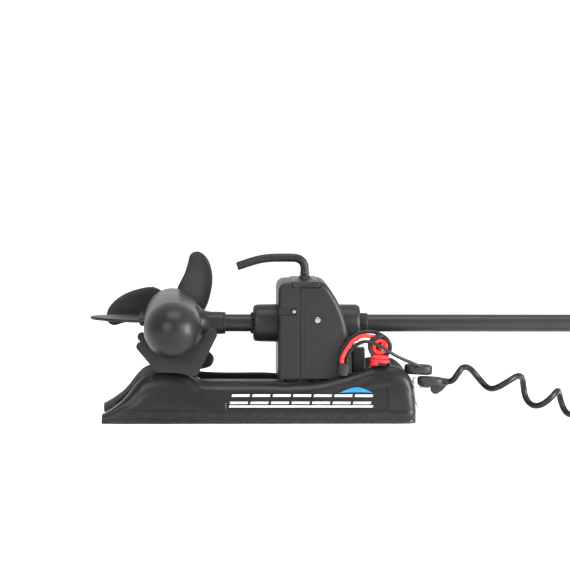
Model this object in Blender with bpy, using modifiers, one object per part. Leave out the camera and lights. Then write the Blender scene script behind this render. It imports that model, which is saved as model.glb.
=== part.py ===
# Bow-mount electric trolling motor, stowed.
# Metres, +Z up. +X runs along the shaft toward the control head, +Y is the far side.
# Origin: centre of the base footprint on the deck.
import bpy
import bmesh
import math
from mathutils import Vector, Matrix

for old in list(bpy.data.objects):
    bpy.data.objects.remove(old, do_unlink=True)

MM = 0.001
GAP = 0.3
COLLECTION = "trolling_motor"

# main axes (mm)
SHAFT_Z = 151.0
SHAFT_R = 14.0
MOTOR_X = -136.7
MOTOR_R = 45.0
PROP_Y = 175.0
# linkage pivots (x, z)
PIV_A = (-114.8, 35.1)
PIV_B = (-99.5, 52.0)
PIV_C = (57.1, 29.3)
PIV_D = (115.3, 51.5)
HEAD_X0 = 1085.0

coll = bpy.data.collections.new(COLLECTION)
bpy.context.scene.collection.children.link(coll)
cutters = bpy.data.collections.new("cutters")
bpy.context.scene.collection.children.link(cutters)


# ---------------------------------------------------------------- helpers
def material(name, color, rough=0.5, metal=0.0):
    m = bpy.data.materials.get(name)
    if m is None:
        m = bpy.data.materials.new(name)
        m.use_nodes = True
        p = m.node_tree.nodes["Principled BSDF"]
        p.inputs["Base Color"].default_value = (*color, 1.0)
        p.inputs["Roughness"].default_value = rough
        p.inputs["Metallic"].default_value = metal
        m.diffuse_color = (*color, 1.0)
    return m


PLASTIC = (0.045, 0.045, 0.048)


def put(ob, name, color=PLASTIC, rough=0.5, metal=0.0, cutter=False):
    for c in list(ob.users_collection):
        c.objects.unlink(ob)
    (cutters if cutter else coll).objects.link(ob)
    ob.name = name
    ob.data.name = name
    if cutter:
        ob.hide_render = True
        ob.display_type = "WIRE"
    else:
        ob.data.materials.clear()
        ob.data.materials.append(material("mat_" + name, color, rough, metal))
    return ob


def bevel(ob, width, segments=2, angle=40):
    b = ob.modifiers.new("bevel", "BEVEL")
    b.width = width * MM
    b.segments = segments
    b.limit_method = "ANGLE"
    b.angle_limit = math.radians(angle)
    b.use_clamp_overlap = True
    return ob


def boolean(ob, other, op="DIFFERENCE"):
    m = ob.modifiers.new("bool", "BOOLEAN")
    m.operation = op
    m.solver = "EXACT"
    m.object = other
    return ob


def box(name, lo, hi, r=0.0, seg=2, **kw):
    bpy.ops.mesh.primitive_cube_add(size=1.0)
    ob = bpy.context.object
    ob.scale = [(hi[i] - lo[i]) * MM for i in range(3)]
    bpy.ops.object.transform_apply(location=False, rotation=False, scale=True)
    ob.location = [(hi[i] + lo[i]) * 0.5 * MM for i in range(3)]
    put(ob, name, **kw)
    if r:
        bevel(ob, r, seg)
    return ob


ROT = {"X": (0, math.radians(90), 0), "Y": (math.radians(-90), 0, 0), "Z": (0, 0, 0)}


def cyl(name, centre, axis, a0, a1, r, verts=24, rb=0.0, **kw):
    """Cylinder along X, Y or Z from a0 to a1; centre gives the other two coordinates."""
    bpy.ops.mesh.primitive_cylinder_add(vertices=verts, radius=r * MM, depth=(a1 - a0) * MM)
    ob = bpy.context.object
    ob.rotation_euler = ROT[axis]
    mid = (a0 + a1) * 0.5
    i = "XYZ".index(axis)
    loc = list(centre)
    loc.insert(i, mid)
    ob.location = [v * MM for v in loc]
    put(ob, name, **kw)
    if rb:
        bevel(ob, rb, 2, 50)
    return ob


def lathe(name, centre, axis, profile, steps=28, origin=0.0, **kw):
    """Turned solid. profile is (station along the axis, radius); an open profile ends on the axis."""
    pts = [(r, s - origin) for s, r in profile]
    area = sum(pts[i][0] * pts[(i + 1) % len(pts)][1] - pts[(i + 1) % len(pts)][0] * pts[i][1]
               for i in range(len(pts)))
    if area > 0:
        pts.reverse()
    closed = min(p[0] for p in pts) > 1e-6
    if not closed:
        # rotate the list so that it starts and ends on the axis
        n = len(pts)
        for k in range(n):
            if pts[k][0] < 1e-6 and pts[(k - 1) % n][0] < 1e-6:
                pts = pts[k:] + pts[:k]
                break
    me = bpy.data.meshes.new(name)
    edges = [(i, i + 1) for i in range(len(pts) - 1)]
    if closed:
        edges.append((len(pts) - 1, 0))
    me.from_pydata([(r * MM, 0, s * MM) for r, s in pts], edges, [])
    ob = bpy.data.objects.new(name, me)
    bpy.context.scene.collection.objects.link(ob)
    ob.rotation_euler = ROT[axis]
    i = "XYZ".index(axis)
    loc = list(centre)
    loc.insert(i, origin)
    ob.location = [v * MM for v in loc]
    m = ob.modifiers.new("screw", "SCREW")
    m.steps = steps
    m.render_steps = steps
    m.axis = "Z"
    m.use_merge_vertices = True
    m.merge_threshold = 1e-5
    m.use_smooth_shade = True
    return put(ob, name, **kw)


def to_mesh(ob):
    """A curve becomes a welded mesh object with the same place."""
    bpy.context.view_layer.update()
    deps = bpy.context.evaluated_depsgraph_get()
    me = bpy.data.meshes.new_from_object(ob.evaluated_get(deps))
    bm = bmesh.new()
    bm.from_mesh(me)
    bmesh.ops.remove_doubles(bm, verts=bm.verts, dist=1e-6)
    bmesh.ops.recalc_face_normals(bm, faces=bm.faces)
    bm.to_mesh(me)
    bm.free()
    new = bpy.data.objects.new(ob.name, me)
    bpy.context.scene.collection.objects.link(new)
    new.matrix_world = ob.matrix_world
    bpy.data.objects.remove(ob, do_unlink=True)
    return new


def plate(name, outline, y0, y1, holes=(), r=0.0, **kw):
    """Flat outline in X, Z, extruded along Y from y0 to y1."""
    cu = bpy.data.curves.new(name, "CURVE")
    cu.dimensions = "2D"
    cu.fill_mode = "BOTH"
    cu.extrude = (y1 - y0) * 0.5 * MM
    loops = [outline]
    for hx, hz, hr in holes:
        loops.append([(hx + hr * math.cos(t * math.tau / 18), hz + hr * math.sin(t * math.tau / 18))
                      for t in range(18)])
    for loop in loops:
        sp = cu.splines.new("POLY")
        sp.points.add(len(loop) - 1)
        for p, (x, z) in zip(sp.points, loop):
            p.co = (x * MM, z * MM, 0, 1)
        sp.use_cyclic_u = True
    ob = bpy.data.objects.new(name, cu)
    bpy.context.scene.collection.objects.link(ob)
    ob.rotation_euler = (math.radians(90), 0, 0)
    ob.location = (0, (y0 + y1) * 0.5 * MM, 0)
    ob = to_mesh(ob)
    put(ob, name, **kw)
    if r:
        bevel(ob, r, 2, 40)
    return ob


def smooth_points(pts, n):
    """Even points on a Catmull-Rom curve through pts."""
    P = [Vector(p) for p in pts]
    P = [P[0] * 2 - P[1]] + P + [P[-1] * 2 - P[-2]]
    dense = []
    for i in range(1, len(P) - 2):
        for k in range(24):
            t = k / 24
            a, b, c, d = P[i - 1], P[i], P[i + 1], P[i + 2]
            dense.append(0.5 * ((2 * b) + (c - a) * t + (2 * a - 5 * b + 4 * c - d) * t * t
                                + (3 * b - a - 3 * c + d) * t ** 3))
    dense.append(P[-2])
    acc = [0.0]
    for a, b in zip(dense, dense[1:]):
        acc.append(acc[-1] + (b - a).length)
    out, j = [], 0
    for k in range(n):
        s = acc[-1] * k / (n - 1)
        while j < len(acc) - 2 and acc[j + 1] < s:
            j += 1
        u = (s - acc[j]) / max(acc[j + 1] - acc[j], 1e-9)
        out.append(dense[j].lerp(dense[j + 1], min(max(u, 0), 1)))
    return out


def wire(name, pts, r, res=3, mesh=False, origin=None, **kw):
    """Round bar or cord along pts (mm)."""
    cu = bpy.data.curves.new(name, "CURVE")
    cu.dimensions = "3D"
    cu.bevel_depth = r * MM
    cu.bevel_resolution = res
    cu.use_fill_caps = True
    cu.resolution_u = 1
    cu.render_resolution_u = 0
    sp = cu.splines.new("POLY")
    sp.points.add(len(pts) - 1)
    o = Vector(origin or (0, 0, 0))
    for p, q in zip(sp.points, pts):
        v = (Vector(q) - o) * MM
        p.co = (v.x, v.y, v.z, 1)
    ob = bpy.data.objects.new(name, cu)
    bpy.context.scene.collection.objects.link(ob)
    ob.location = o * MM
    if mesh:
        ob = to_mesh(ob)
    return put(ob, name, **kw)


def mesh_object(name, verts, faces, **kw):
    me = bpy.data.meshes.new(name)
    me.from_pydata([tuple(c * MM for c in v) for v in verts], [], faces)
    bm = bmesh.new()
    bm.from_mesh(me)
    bmesh.ops.recalc_face_normals(bm, faces=bm.faces)
    bm.to_mesh(me)
    bm.free()
    ob = bpy.data.objects.new(name, me)
    bpy.context.scene.collection.objects.link(ob)
    return put(ob, name, **kw)


def loft(name, rings, **kw):
    """Closed loft through rings with the same number of points."""
    n = len(rings[0])
    verts = [p for ring in rings for p in ring]
    faces = []
    for i in range(len(rings) - 1):
        for j in range(n):
            k = (j + 1) % n
            faces.append((i * n + j, i * n + k, (i + 1) * n + k, (i + 1) * n + j))
    faces.append(tuple(range(n - 1, -1, -1)))
    faces.append(tuple((len(rings) - 1) * n + j for j in range(n)))
    return mesh_object(name, verts, faces, **kw)


def interp(table, x):
    if x <= table[0][0]:
        return table[0][1]
    for (x0, z0), (x1, z1) in zip(table, table[1:]):
        if x <= x1:
            return z0 + (z1 - z0) * (x - x0) / (x1 - x0)
    return table[-1][1]


def bar_outline(p, q, rp, rq, h):
    """Outline of a link with round ends about p and q."""
    d = Vector((q[0] - p[0], q[1] - p[1]))
    a = math.atan2(d.y, d.x)
    out = []
    ap = math.asin(h / rp)
    aq = math.asin(h / rq)
    for k in range(9):
        t = a + ap + (math.tau - 2 * ap) * k / 8
        out.append((p[0] + rp * math.cos(t), p[1] + rp * math.sin(t)))
    for k in range(9):
        t = a + math.pi + aq + (math.tau - 2 * aq) * k / 8
        out.append((q[0] + rq * math.cos(t), q[1] + rq * math.sin(t)))
    return out


# ---------------------------------------------------------------- base
ext = plate("base_extrusion", [(-228, 0), (244, 0), (244, 55), (240, 61), (236, 62), (-178, 62), (-190, 56), (-203, 40), (-216, 26), (-228, 17)], -59.5, 59.5, r=0.8,
            color=(0.06, 0.06, 0.065), rough=0.45, metal=0.6)
trough = box("cut_trough", (-300, -54.5, 8), (300, 54.5, 100), cutter=True)
boolean(ext, trough)
trunnion_hole = cyl("cut_trunnion_hole", (PIV_A[0], PIV_A[1]), "Y", -80, 80, 6.3, verts=18, cutter=True)
boolean(ext, trunnion_hole)
for i, (hx, hy) in enumerate([(-190, -30), (-190, 30), (210, -30), (210, 30)]):
    boolean(ext, cyl("cut_deck_hole_%d" % i, (hx, hy), "Z", -10, 20, 4.2, verts=20, cutter=True))

CREST = [(-247.5, 13), (-233, 21), (-216, 34), (-203, 49.5), (-190, 66), (-184, 71.5), (-177, 75), (-169, 78), (-161, 79),
         (-139, 79), (-117, 77), (-108, 73), (-100, 69), (-88, 66), (-42, 65.2), (30, 64), (47, 62), (64, 61),
         (80, 61.8), (96, 64), (127, 72), (150, 78.5), (168, 85), (178, 88), (189, 90), (208, 90), (221, 87),
         (232, 79.5), (239, 71.5), (245, 61), (247.5, 44)]


def cover_section(x, z, s):
    """Cross-section of a side cover at station x with crest z; s is the side (-1 near, +1 far)."""
    skirt = min(21.0, z * 0.62)
    top = max(z, skirt + 3)
    rt = min(9.0, (top - skirt) * 0.45)
    end = 1.0 - max(0.0, (abs(x) - 236.0) / 11.5) ** 2 * 0.10
    pts = [(60.0, 0.0), (87.5 * end, 0.0), (87.5 * end, skirt - 1.4), (86.4 * end, skirt),
           (85.6 * end, skirt + (top - skirt) * 0.5),
           (83.4 * end, top - rt)]
    oy, iy = 83.4 * end, 60.0
    for k in range(1, 3):
        t = k / 3 * math.pi / 2
        pts.append((oy - rt * (1 - math.cos(t)), top - rt + rt * math.sin(t)))
    pts.append((oy - rt, top))
    pts.append((iy + 3.0, top))
    pts.append((iy + 0.9, top - 0.9))
    pts.append((iy, top - 3.0))
    return [(x, s * y, zz) for y, zz in pts]


def side_cover(name, s):
    ob = loft(name, [cover_section(x, z, s) for x, z in CREST], color=PLASTIC, rough=0.45)
    rings = []
    for x, z in CREST:
        if x < -205 or x > 238:
            continue
        t = z - 4.0
        ring = [(63.5, -5), (83.0, -5), (83.0, 18), (81.6, 24), (80.0, t - 7), (75.5, t), (63.5, t)]
        rings.append([(x, s * y, zz) for y, zz in ring])
    cav = loft("cut_" + name, rings, cutter=True)
    boolean(ob, cav)
    return ob


near_cover = side_cover("near_side_cover", -1)
far_cover = side_cover("far_side_cover", 1)

# motor rests: V plates standing on the crests of the covers
rest = []
for k in range(9):                                   # round left tip
    t = math.radians(205 - k * 155 / 8)
    rest.append((-186.4 + 7.0 * math.cos(t), 120.9 + 7.0 * math.sin(t)))
for k in range(13):                                  # cradle round the motor case
    t = math.radians(213 + k * 95 / 12)
    rest.append((MOTOR_X + 46.2 * math.cos(t), SHAFT_Z + 46.2 * math.sin(t)))
for k in range(9):                                   # round right tip
    t = math.radians(142.8 - k * 168.3 / 8)
    rest.append((-75.6 + 8.6 * math.cos(t), 140.6 + 8.6 * math.sin(t)))
rest += [(-92.5, 86), (-98, 75), (-103, 75.4), (-108, 73.6), (-117, 77.5), (-128, 79.0), (-139, 79.5), (-160, 79.5), (-163, 82)]
for nm, y0, y1 in (("near_motor_rest", -78.5, -68.5), ("far_motor_rest", 68.5, 78.5)):
    plate(nm, rest, y0, y1, r=0.7, color=PLASTIC, rough=0.5)

# ears that hold the inner arm
bracket = box("arm_bracket", (-124, -26, 8 + GAP), (-80, 26, 14), r=0.6, color=(0.09, 0.09, 0.095), rough=0.4, metal=0.8)
for s in (-1, 1):
    ear = plate("cut_ear_%d" % s, [(-118, 9), (-84, 9), (-88.5, 40), (-89.8, 55), (-93, 60), (-99.5, 62), (-106, 60),
                                   (-109.5, 55), (-111, 40)], 16 if s > 0 else -26, 26 if s > 0 else -16, cutter=True)
    boolean(bracket, ear, "UNION")
boolean(bracket, cyl("cut_b_hole", PIV_B, "Y", -60, 60, 5.3, verts=18, cutter=True))
cyl("inner_arm_pin", PIV_B, "Y", -27.5, 27.5, 5.0, rb=0.6, color=(0.5, 0.5, 0.52), rough=0.3, metal=1.0)

box("stop_block", (149, -20, 8 + GAP), (172, 20, 113), r=1.2, color=PLASTIC, rough=0.5)
box("stop_cap", (150, -19, 113 + GAP), (171, 19, 118), r=1.2, color=(0.5, 0.5, 0.5), rough=0.6)

plate("rear_bracket", [(244.4, 69), (244.4, 36), (248, 32), (252.5, 20), (257.5, 17.5), (262, 22), (271, 46), (271, 54), (251.2, 54.4), (250.4, 69)],
      -59.0, -41.0, r=0.6, color=(0.62, 0.63, 0.65), rough=0.35, metal=0.9)


def oval_plug(name, x0, x1, y, z, ry, rz, droop, **kw):
    rings = []
    L = x1 - x0
    for k in range(9):
        u = k / 8
        e = math.sqrt(max(0.0, 1 - (2 * u - 1) ** 6)) * 0.9 + 0.1
        zc = z + droop * (u - 0.5)
        ring = []
        for j in range(16):
            t = j * math.tau / 16
            cy, cz = math.cos(t), math.sin(t)
            ring.append((x0 + L * u, y + ry * e * math.copysign(abs(cy) ** 0.75, cy),
                         zc + rz * e * math.copysign(abs(cz) ** 0.75, cz)))
        rings.append(ring)
    return loft(name, rings, **kw)


oval_plug("upper_socket", 231, 276, -43, 81.5, 14.5, 8.4, -2, color=(0.03, 0.03, 0.032), rough=0.4)
boot = oval_plug("lower_plug_boot", 251.2, 300.4, -50, 62.8, 14, 8.1, -2, color=(0.03, 0.03, 0.032), rough=0.45)
boolean(boot, plate("cut_boot_keel", [(273, 60), (272.4, 48), (276, 43.6), (282, 43.8), (291, 49.5), (298, 56), (298, 60)], -60.5, -39.5, r=2.5, cutter=True), "UNION")

# ---------------------------------------------------------------- arms
arm_line = bar_outline(PIV_A, PIV_C, 14.0, 13.0, 10.0)
for nm, sd in (("outer_arm_near", -1), ("outer_arm_far", 1)):
    lo, hi = sorted((sd * 41, sd * 53))
    outer = plate(nm, arm_line, lo, hi, r=1.0, color=(0.10, 0.10, 0.105), rough=0.4, metal=0.7)
    lo, hi = sorted((sd * 50, sd * 59.2))
    boolean(outer, cyl("cut_trunnion_a%d" % sd, PIV_A, "Y", lo, hi, 6.0, verts=18, cutter=True), "UNION")
    lo, hi = sorted((sd * 29.2, sd * 44))
    boolean(outer, cyl("cut_trunnion_c%d" % sd, PIV_C, "Y", lo, hi, 6.0, verts=18, cutter=True), "UNION")

plate("inner_arm", bar_outline(PIV_B, PIV_D, 10.5, 15.0, 7.5), -14, 14, r=0.8,
      holes=[(PIV_B[0], PIV_B[1], 5.3), (PIV_D[0], PIV_D[1], 10.9)], color=(0.10, 0.10, 0.105), rough=0.4, metal=0.7)

# ---------------------------------------------------------------- housing core
leg = [(44, 29), (46, 22), (51, 17.5), (57, 16.3), (64, 18), (69, 23), (72, 30), (104, 42), (110, 41), (117, 41),
       (123, 45), (125.5, 52), (125, 60), (122, 70), (122, 150), (44, 150)]
core = plate("mount_frame", leg, 28.5, 39, r=0.8, color=(0.12, 0.12, 0.125), rough=0.45, metal=0.7)
boolean(core, plate("cut_leg_near", leg, -39, -28.5, r=0.8, cutter=True), "UNION")
boolean(core, box("cut_bridge", (44.4, -34, 112), (121.6, 34, 121), cutter=True), "UNION")
for i, (x0, x1) in enumerate(((44.4, 69.6), (84.4, 121.6))):
    boolean(core, box("cut_cheek_box_%d" % i, (x0, -34, 116), (x1, 34, 149.6), cutter=True), "UNION")
    boolean(core, cyl("cut_cheek_%d" % i, (0, SHAFT_Z), "X", x0 + 0.2, x1 - 0.2, 22.0, verts=28, cutter=True), "UNION")
boolean(core, cyl("cut_core_bore", (0, SHAFT_Z), "X", 20, 150, SHAFT_R + 3.3, verts=28, cutter=True))
boolean(core, cyl("cut_c_hole", PIV_C, "Y", -60, 60, 6.3, verts=18, cutter=True))
boolean(core, cyl("cut_d_hole", PIV_D, "Y", -60, 60, 4.8, verts=18, cutter=True))
cyl("link_pin", PIV_D, "Y", -40, 40, 4.5, verts=24, rb=0.5, color=(0.5, 0.5, 0.52), rough=0.3, metal=1.0)
for nm, x0, x1 in (("bush_left", 44.6, 69.4), ("bush_right", 84.6, 121.4)):
    lathe(nm, (0, SHAFT_Z), "X", [(x0, SHAFT_R + 0.3), (x1, SHAFT_R + 0.3), (x1, SHAFT_R + 3.0), (x0, SHAFT_R + 3.0)],
          steps=28, color=(0.75, 0.72, 0.62), rough=0.4)


def gear(name, cy, cz, x0, x1, teeth, r_out, r_root, bore, **kw):
    pts = []
    for i in range(teeth):
        a = i * math.tau / teeth
        w = math.tau / teeth
        for f, r in ((-0.30, r_root), (-0.16, r_out), (0.16, r_out), (0.30, r_root)):
            pts.append((r * math.cos(a + f * w), r * math.sin(a + f * w)))
    cu = bpy.data.curves.new(name, "CURVE")
    cu.dimensions = "2D"
    cu.fill_mode = "BOTH"
    cu.extrude = (x1 - x0) * 0.5 * MM
    loops = [pts, [(bore * math.cos(k * math.tau / 24), bore * math.sin(k * math.tau / 24)) for k in range(24)]]
    for loop in loops:
        sp = cu.splines.new("POLY")
        sp.points.add(len(loop) - 1)
        for p, (a, b) in zip(sp.points, loop):
            p.co = (a * MM, b * MM, 0, 1)
        sp.use_cyclic_u = True
    ob = bpy.data.objects.new(name, cu)
    bpy.context.scene.collection.objects.link(ob)
    ob.rotation_euler = (0, math.radians(90), 0)
    ob.location = ((x0 + x1) * 0.5 * MM, cy * MM, cz * MM)
    return put(to_mesh(ob), name, **kw)


gear("steering_gear", 0, SHAFT_Z, 72, 82, 24, 26.6, 23.0, SHAFT_R + 0.3, color=(0.6, 0.58, 0.5), rough=0.4)
py, pz = -36.7 * math.sin(math.radians(45)), SHAFT_Z + 36.7 * math.cos(math.radians(45))
gear("steering_pinion", py, pz, 72.5, 82, 12, 9.8, 6.9, 2.8, color=(0.65, 0.6, 0.35), rough=0.35, metal=0.9)
lathe("steering_motor", (py, pz), "X", [(73, 0), (73, 2.5), (82.3, 2.5), (82.3, 12.4), (83, 13), (114, 13), (115, 12), (115, 0)],
      steps=32, color=(0.45, 0.45, 0.47), rough=0.35, metal=0.9)
box("control_board", (50, -41, 76), (118, -39 - GAP, 110), color=(0.03, 0.16, 0.07), rough=0.5)

# ---------------------------------------------------------------- housing covers
HOUSE = [(30, 68), (30, 207), (31.5, 212.5), (35, 217), (39, 219.2), (44, 220), (96, 221), (101, 220.4), (106, 216.5),
         (111, 210), (117, 202), (122, 194), (127, 184), (131, 174), (134.6, 165), (137.5, 156), (139, 147),
         (140, 138), (142.5, 127), (145, 116), (146.4, 97), (147, 79), (147, 68)]
INNER = [(33.2, 50), (33.2, 207), (34.5, 211), (37.5, 214.5), (44, 216.6), (95, 217.4), (100, 215.4), (108, 207.5),
         (119, 192), (124, 182.5), (128, 172.6), (134.4, 155), (137, 137), (141.8, 115), (143.4, 97), (143.8, 79), (143.8, 50)]


def half_cover(name, half_y, front):
    ob = plate(name, HOUSE, -half_y, half_y, r=3.0, color=PLASTIC, rough=0.45)
    boolean(ob, plate("cut_inner_" + name, INNER, -(half_y - 3.2), half_y - 3.2, cutter=True))
    boolean(ob, box("cut_half_" + name, ((66.0 + GAP) if front else 0, -80, 40), (200 if front else (66.0 + 2 * GAP), 80, 240),
                    cutter=True))
    boolean(ob, box("cut_recess_" + name, (52 - GAP, -80, 212 - GAP), (95 + GAP, 80, 240), cutter=True))
    if front:
        boolean(ob, cyl("cut_front_bore", (0, SHAFT_Z), "X", 20, 60, 16.0, verts=28, cutter=True))
        boolean(ob, box("cut_slot", (24, -80, 168), (59, -56.0, 181), r=2.5, cutter=True))
    else:
        boolean(ob, cyl("cut_rear_bore", (0, SHAFT_Z), "X", 118, 200, 30.0 + GAP, verts=24, cutter=True))
        boolean(ob, cyl("cut_screw_seat", (92, 161), "Y", -80, -52, 3.6, verts=18, cutter=True))
    return ob


front_cover = half_cover("front_cover", 57.2, True)
rear_cover = half_cover("rear_cover", 58.0, False)
lathe("cover_screw", (92, 161), "Y", [(-60.0, 0), (-60.0, 2.0), (-60.0, 4.2), (-59.6, 4.75), (-58.3, 4.75), (-58.3, 3.2), (-46, 3.2), (-45, 2.6), (-45, 0)],
      steps=28, origin=-58, color=(0.7, 0.7, 0.72), rough=0.25, metal=1.0)

b = SHAFT_R + 0.3
lathe("left_collar", (0, SHAFT_Z), "X", [(-8, b), (29.7, b), (29.7, 30.3), (8, 30.0), (-3, 29.2), (-6.5, 28), (-8, 25.5)],
      steps=32, color=PLASTIC, rough=0.45)
lathe("rear_bearing_cap", (0, SHAFT_Z), "X", [(122.6, b), (162, b), (162, 27), (159.5, 30), (122.6, 30)],
      steps=32, color=PLASTIC, rough=0.45)
ring_pts = []
ob = gear("serrated_ring", 0, SHAFT_Z, -12, -8 - GAP, 18, 17.2, 16.0, b, color=(0.05, 0.05, 0.052), rough=0.5)
lathe("depth_collar", (0, SHAFT_Z), "X", [(162.4, b), (175, b), (175, 15.4), (173.6, 16.2), (163.6, 16.2), (162.4, 15.4)],
      steps=28, color=(0.03, 0.03, 0.032), rough=0.5)

# handle plate with the rod's neck
hp = box("handle_plate", (52, -58, 212), (95, 58, 222), r=1.6, color=PLASTIC, rough=0.45)
boolean(hp, lathe("cut_neck", (74, 0), "Z", [(219, 0), (219, 10), (223.5, 9.6), (228, 7.6), (228, 0)], steps=20, cutter=True), "UNION")
boolean(hp, cyl("cut_rod_hole", (74, 0), "Z", 200, 240, 5.4, verts=18, cutter=True))

# ---------------------------------------------------------------- pull handle
wire("handle_rod", [(74, 0, 187.3), (74, 0, 205), (74, 0, 228.6)], 5.0, res=3, mesh=True, origin=(74, 0, 222), color=(0.03, 0.03, 0.032), rough=0.45)
grip_pts = smooth_points([(74, 0, 229.0), (74, 0, 235), (73.8, 0, 241), (72.2, 0, 246.6), (68.6, 0, 251.2), (63.2, 0, 254.3), (56.5, 0, 255.5), (40, 0, 255.7),
                          (20, 0, 255.2), (5, 0, 253.4), (-10, 0, 249.6), (-34, 0, 241.6)], 26)
bevel(wire("pull_grip", grip_pts, 6.7, res=3, mesh=True, origin=(74, 0, 222), color=(0.03, 0.03, 0.032), rough=0.55), 1.0, 1, 60)
latch = box("latch_bar", (66, -8, 181), (82, 49, 187), r=0.5, color=(0.55, 0.55, 0.57), rough=0.35, metal=0.9)
boolean(latch, box("cut_latch_leg", (66.4, 43, 78), (81.6, 48.8, 186.6), r=0.5, cutter=True), "UNION")
coil = []
turns, zb, zt = 5, 188.4, 210.8
for k in range(turns * 10 + 1):
    t = k / 10 * math.tau
    coil.append((74 + 7.6 * math.cos(t), 7.6 * math.sin(t), zb + (zt - zb) * k / (turns * 10)))
wire("latch_spring", coil, 0.8, res=1, color=(0.6, 0.6, 0.62), rough=0.3, metal=1.0)

# ---------------------------------------------------------------- lower unit
lathe("motor_tube", (MOTOR_X, SHAFT_Z), "Y", [(-108, 41), (118, 41), (118, 45), (-108, 45)], steps=28,
      color=PLASTIC, rough=0.4)
nose = [(-108 - GAP, 45), (-118, 44.8), (-128, 43.6), (-137, 41.0), (-145, 37.0), (-152, 31.0), (-158, 23.0), (-162.6, 12.0), (-164.4, 0)]
nose_in = [(-159, 0), (-150, 25), (-137, 36.5), (-118, 40.7), (-108 - GAP, 41)]
lathe("nose_cone", (MOTOR_X, SHAFT_Z), "Y", nose + nose_in, steps=28, color=PLASTIC, rough=0.4)
lathe("end_bell", (MOTOR_X, SHAFT_Z), "Y", [(118 + GAP, 40.6), (118 + GAP, 45), (128, 44.6), (134, 42.6), (140, 38), (146, 31), (151, 25), (154, 22), (154, 6.2),
                                           (124, 6.2), (124, 40.6)], steps=28, color=PLASTIC, rough=0.45)
adapter = lathe("shaft_adapter", (0, SHAFT_Z), "X", [(MOTOR_X + 30, 0), (-92, 0), (-92, b), (-52, b), (-52, 16.6), (-54, 18.0), (-76, 18.0),
                                                     (-91, 23.5), (-95, 28), (MOTOR_X + 30, 28)], steps=28, color=PLASTIC, rough=0.45)
boolean(adapter, cyl("cut_motor_bore", (MOTOR_X, SHAFT_Z), "Y", -200, 200, MOTOR_R + GAP, verts=40, cutter=True))
skeg_out = [(-176, 22), (-184, 22), (-200, 24), (-222, 33), (-246, 50), (-262, 66), (-269, 78), (-270.5, 90), (-267, 100), (-256, 108),
            (-232, 116), (-206, 126), (-184, 130), (-176, 130)]
cu = bpy.data.curves.new("skeg", "CURVE")
cu.dimensions = "2D"
cu.fill_mode = "BOTH"
cu.extrude = 2.3 * MM
sp = cu.splines.new("POLY")
sp.points.add(len(skeg_out) - 1)
for p, (x, y) in zip(sp.points, skeg_out):
    p.co = (x * MM, y * MM, 0, 1)
sp.use_cyclic_u = True
sk = bpy.data.objects.new("skeg", cu)
bpy.context.scene.collection.objects.link(sk)
sk.location = (0, 0, SHAFT_Z * MM)
sk = put(to_mesh(sk), "skeg", color=PLASTIC, rough=0.45)
bevel(sk, 0.9, 2, 40)
boolean(sk, box("cut_skeg_foot", (-190, 24, SHAFT_Z - 7), (-176, 128, SHAFT_Z + 7), r=2, cutter=True), "UNION")
boolean(sk, cyl("cut_skeg_root", (MOTOR_X, SHAFT_Z), "Y", -200, 200, MOTOR_R + GAP, verts=40, cutter=True))
lathe("magnet_ring", (MOTOR_X, SHAFT_Z), "Y", [(-55, 34.5), (65, 34.5), (65, 40.7), (-55, 40.7)], steps=28,
      color=(0.08, 0.08, 0.085), rough=0.6)

# rotor: armature, shaft, propeller, nut, pin
lathe("armature", (MOTOR_X, SHAFT_Z), "Y", [(-84, 5.3), (78, 5.3), (78, 14), (66, 22), (60, 33), (-50, 33), (-56, 24), (-62, 15), (-84, 15)], steps=28,
      color=(0.45, 0.25, 0.12), rough=0.4, metal=0.7)
lathe("motor_shaft", (MOTOR_X, SHAFT_Z), "Y", [(-104, 0), (-104, 4.4), (-103, 5.0), (197, 5.0), (198, 4.2), (198, 0)], steps=28,
      color=(0.6, 0.6, 0.62), rough=0.25, metal=1.0)
lathe("front_bearing", (MOTOR_X, SHAFT_Z), "Y", [(-103, 5.3), (-94, 5.3), (-94, 40.4), (-97, 40.4), (-103, 12)], steps=28,
      color=(0.35, 0.35, 0.36), rough=0.4, metal=0.8)

prop = lathe("propeller", (MOTOR_X, SHAFT_Z), "Y", [(154.8, 5.3), (190, 5.3), (190, 13), (186, 17), (176, 19.5), (162, 20.5), (154.8, 20.5)],
             steps=28, origin=PROP_Y, color=PLASTIC, rough=0.45)
TRAIL = [(14, -34), (34, -12), (54.7, 6.5), (62, 17), (70, 26), (78.6, 33.4), (87.5, 40.4), (96, 47), (103.5, 53), (107.8, 57.8),
         (110.3, 63.4)]
LEAD = [(14, 80), (42.6, 78.6), (54.5, 75), (70.4, 72.6), (85.6, 72.6), (95, 73.2), (100.2, 73), (104.4, 71.6), (107.8, 69.4), (110.3, 66.6)]
for kb in range(3):
    rings = []
    for r, ta in TRAIL:
        la = interp(LEAD, r)
        t_max = 1.2 + 3.0 * (1 - r / 115)
        up, dn = [], []
        nchord = 6
        for j in range(nchord):
            u = j / (nchord - 1)
            deg = ta + (la - ta) * u
            a = math.radians(deg + 120 * kb)
            h = t_max * (0.28 + 0.72 * math.sin(math.pi * min(max(u, 0), 1)))
            y = PROP_Y - 3 + (deg - 30) * 0.21
            x, z = MOTOR_X + r * math.cos(a), SHAFT_Z + r * math.sin(a)
            up.append((x, y + h / 2, z))
            dn.append((x, y - h / 2, z))
        rings.append(up + dn[::-1])
    blade = loft("cut_blade_%d" % kb, rings, cutter=True)
    boolean(prop, blade, "UNION")
boolean(prop, cyl("cut_prop_pin", (0, SHAFT_Z), "X", MOTOR_X - 12.4, MOTOR_X + 12.4, 2.5, verts=16, cutter=True))
prop.modifiers[-1].object.location.y = 164 * MM
pin = cyl("drive_pin", (0, SHAFT_Z), "X", MOTOR_X + 5.3, MOTOR_X + 12.0, 2.2, verts=20, rb=0.3, color=(0.7, 0.7, 0.72), rough=0.25, metal=1.0)
pin.location.y = 164 * MM
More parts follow.
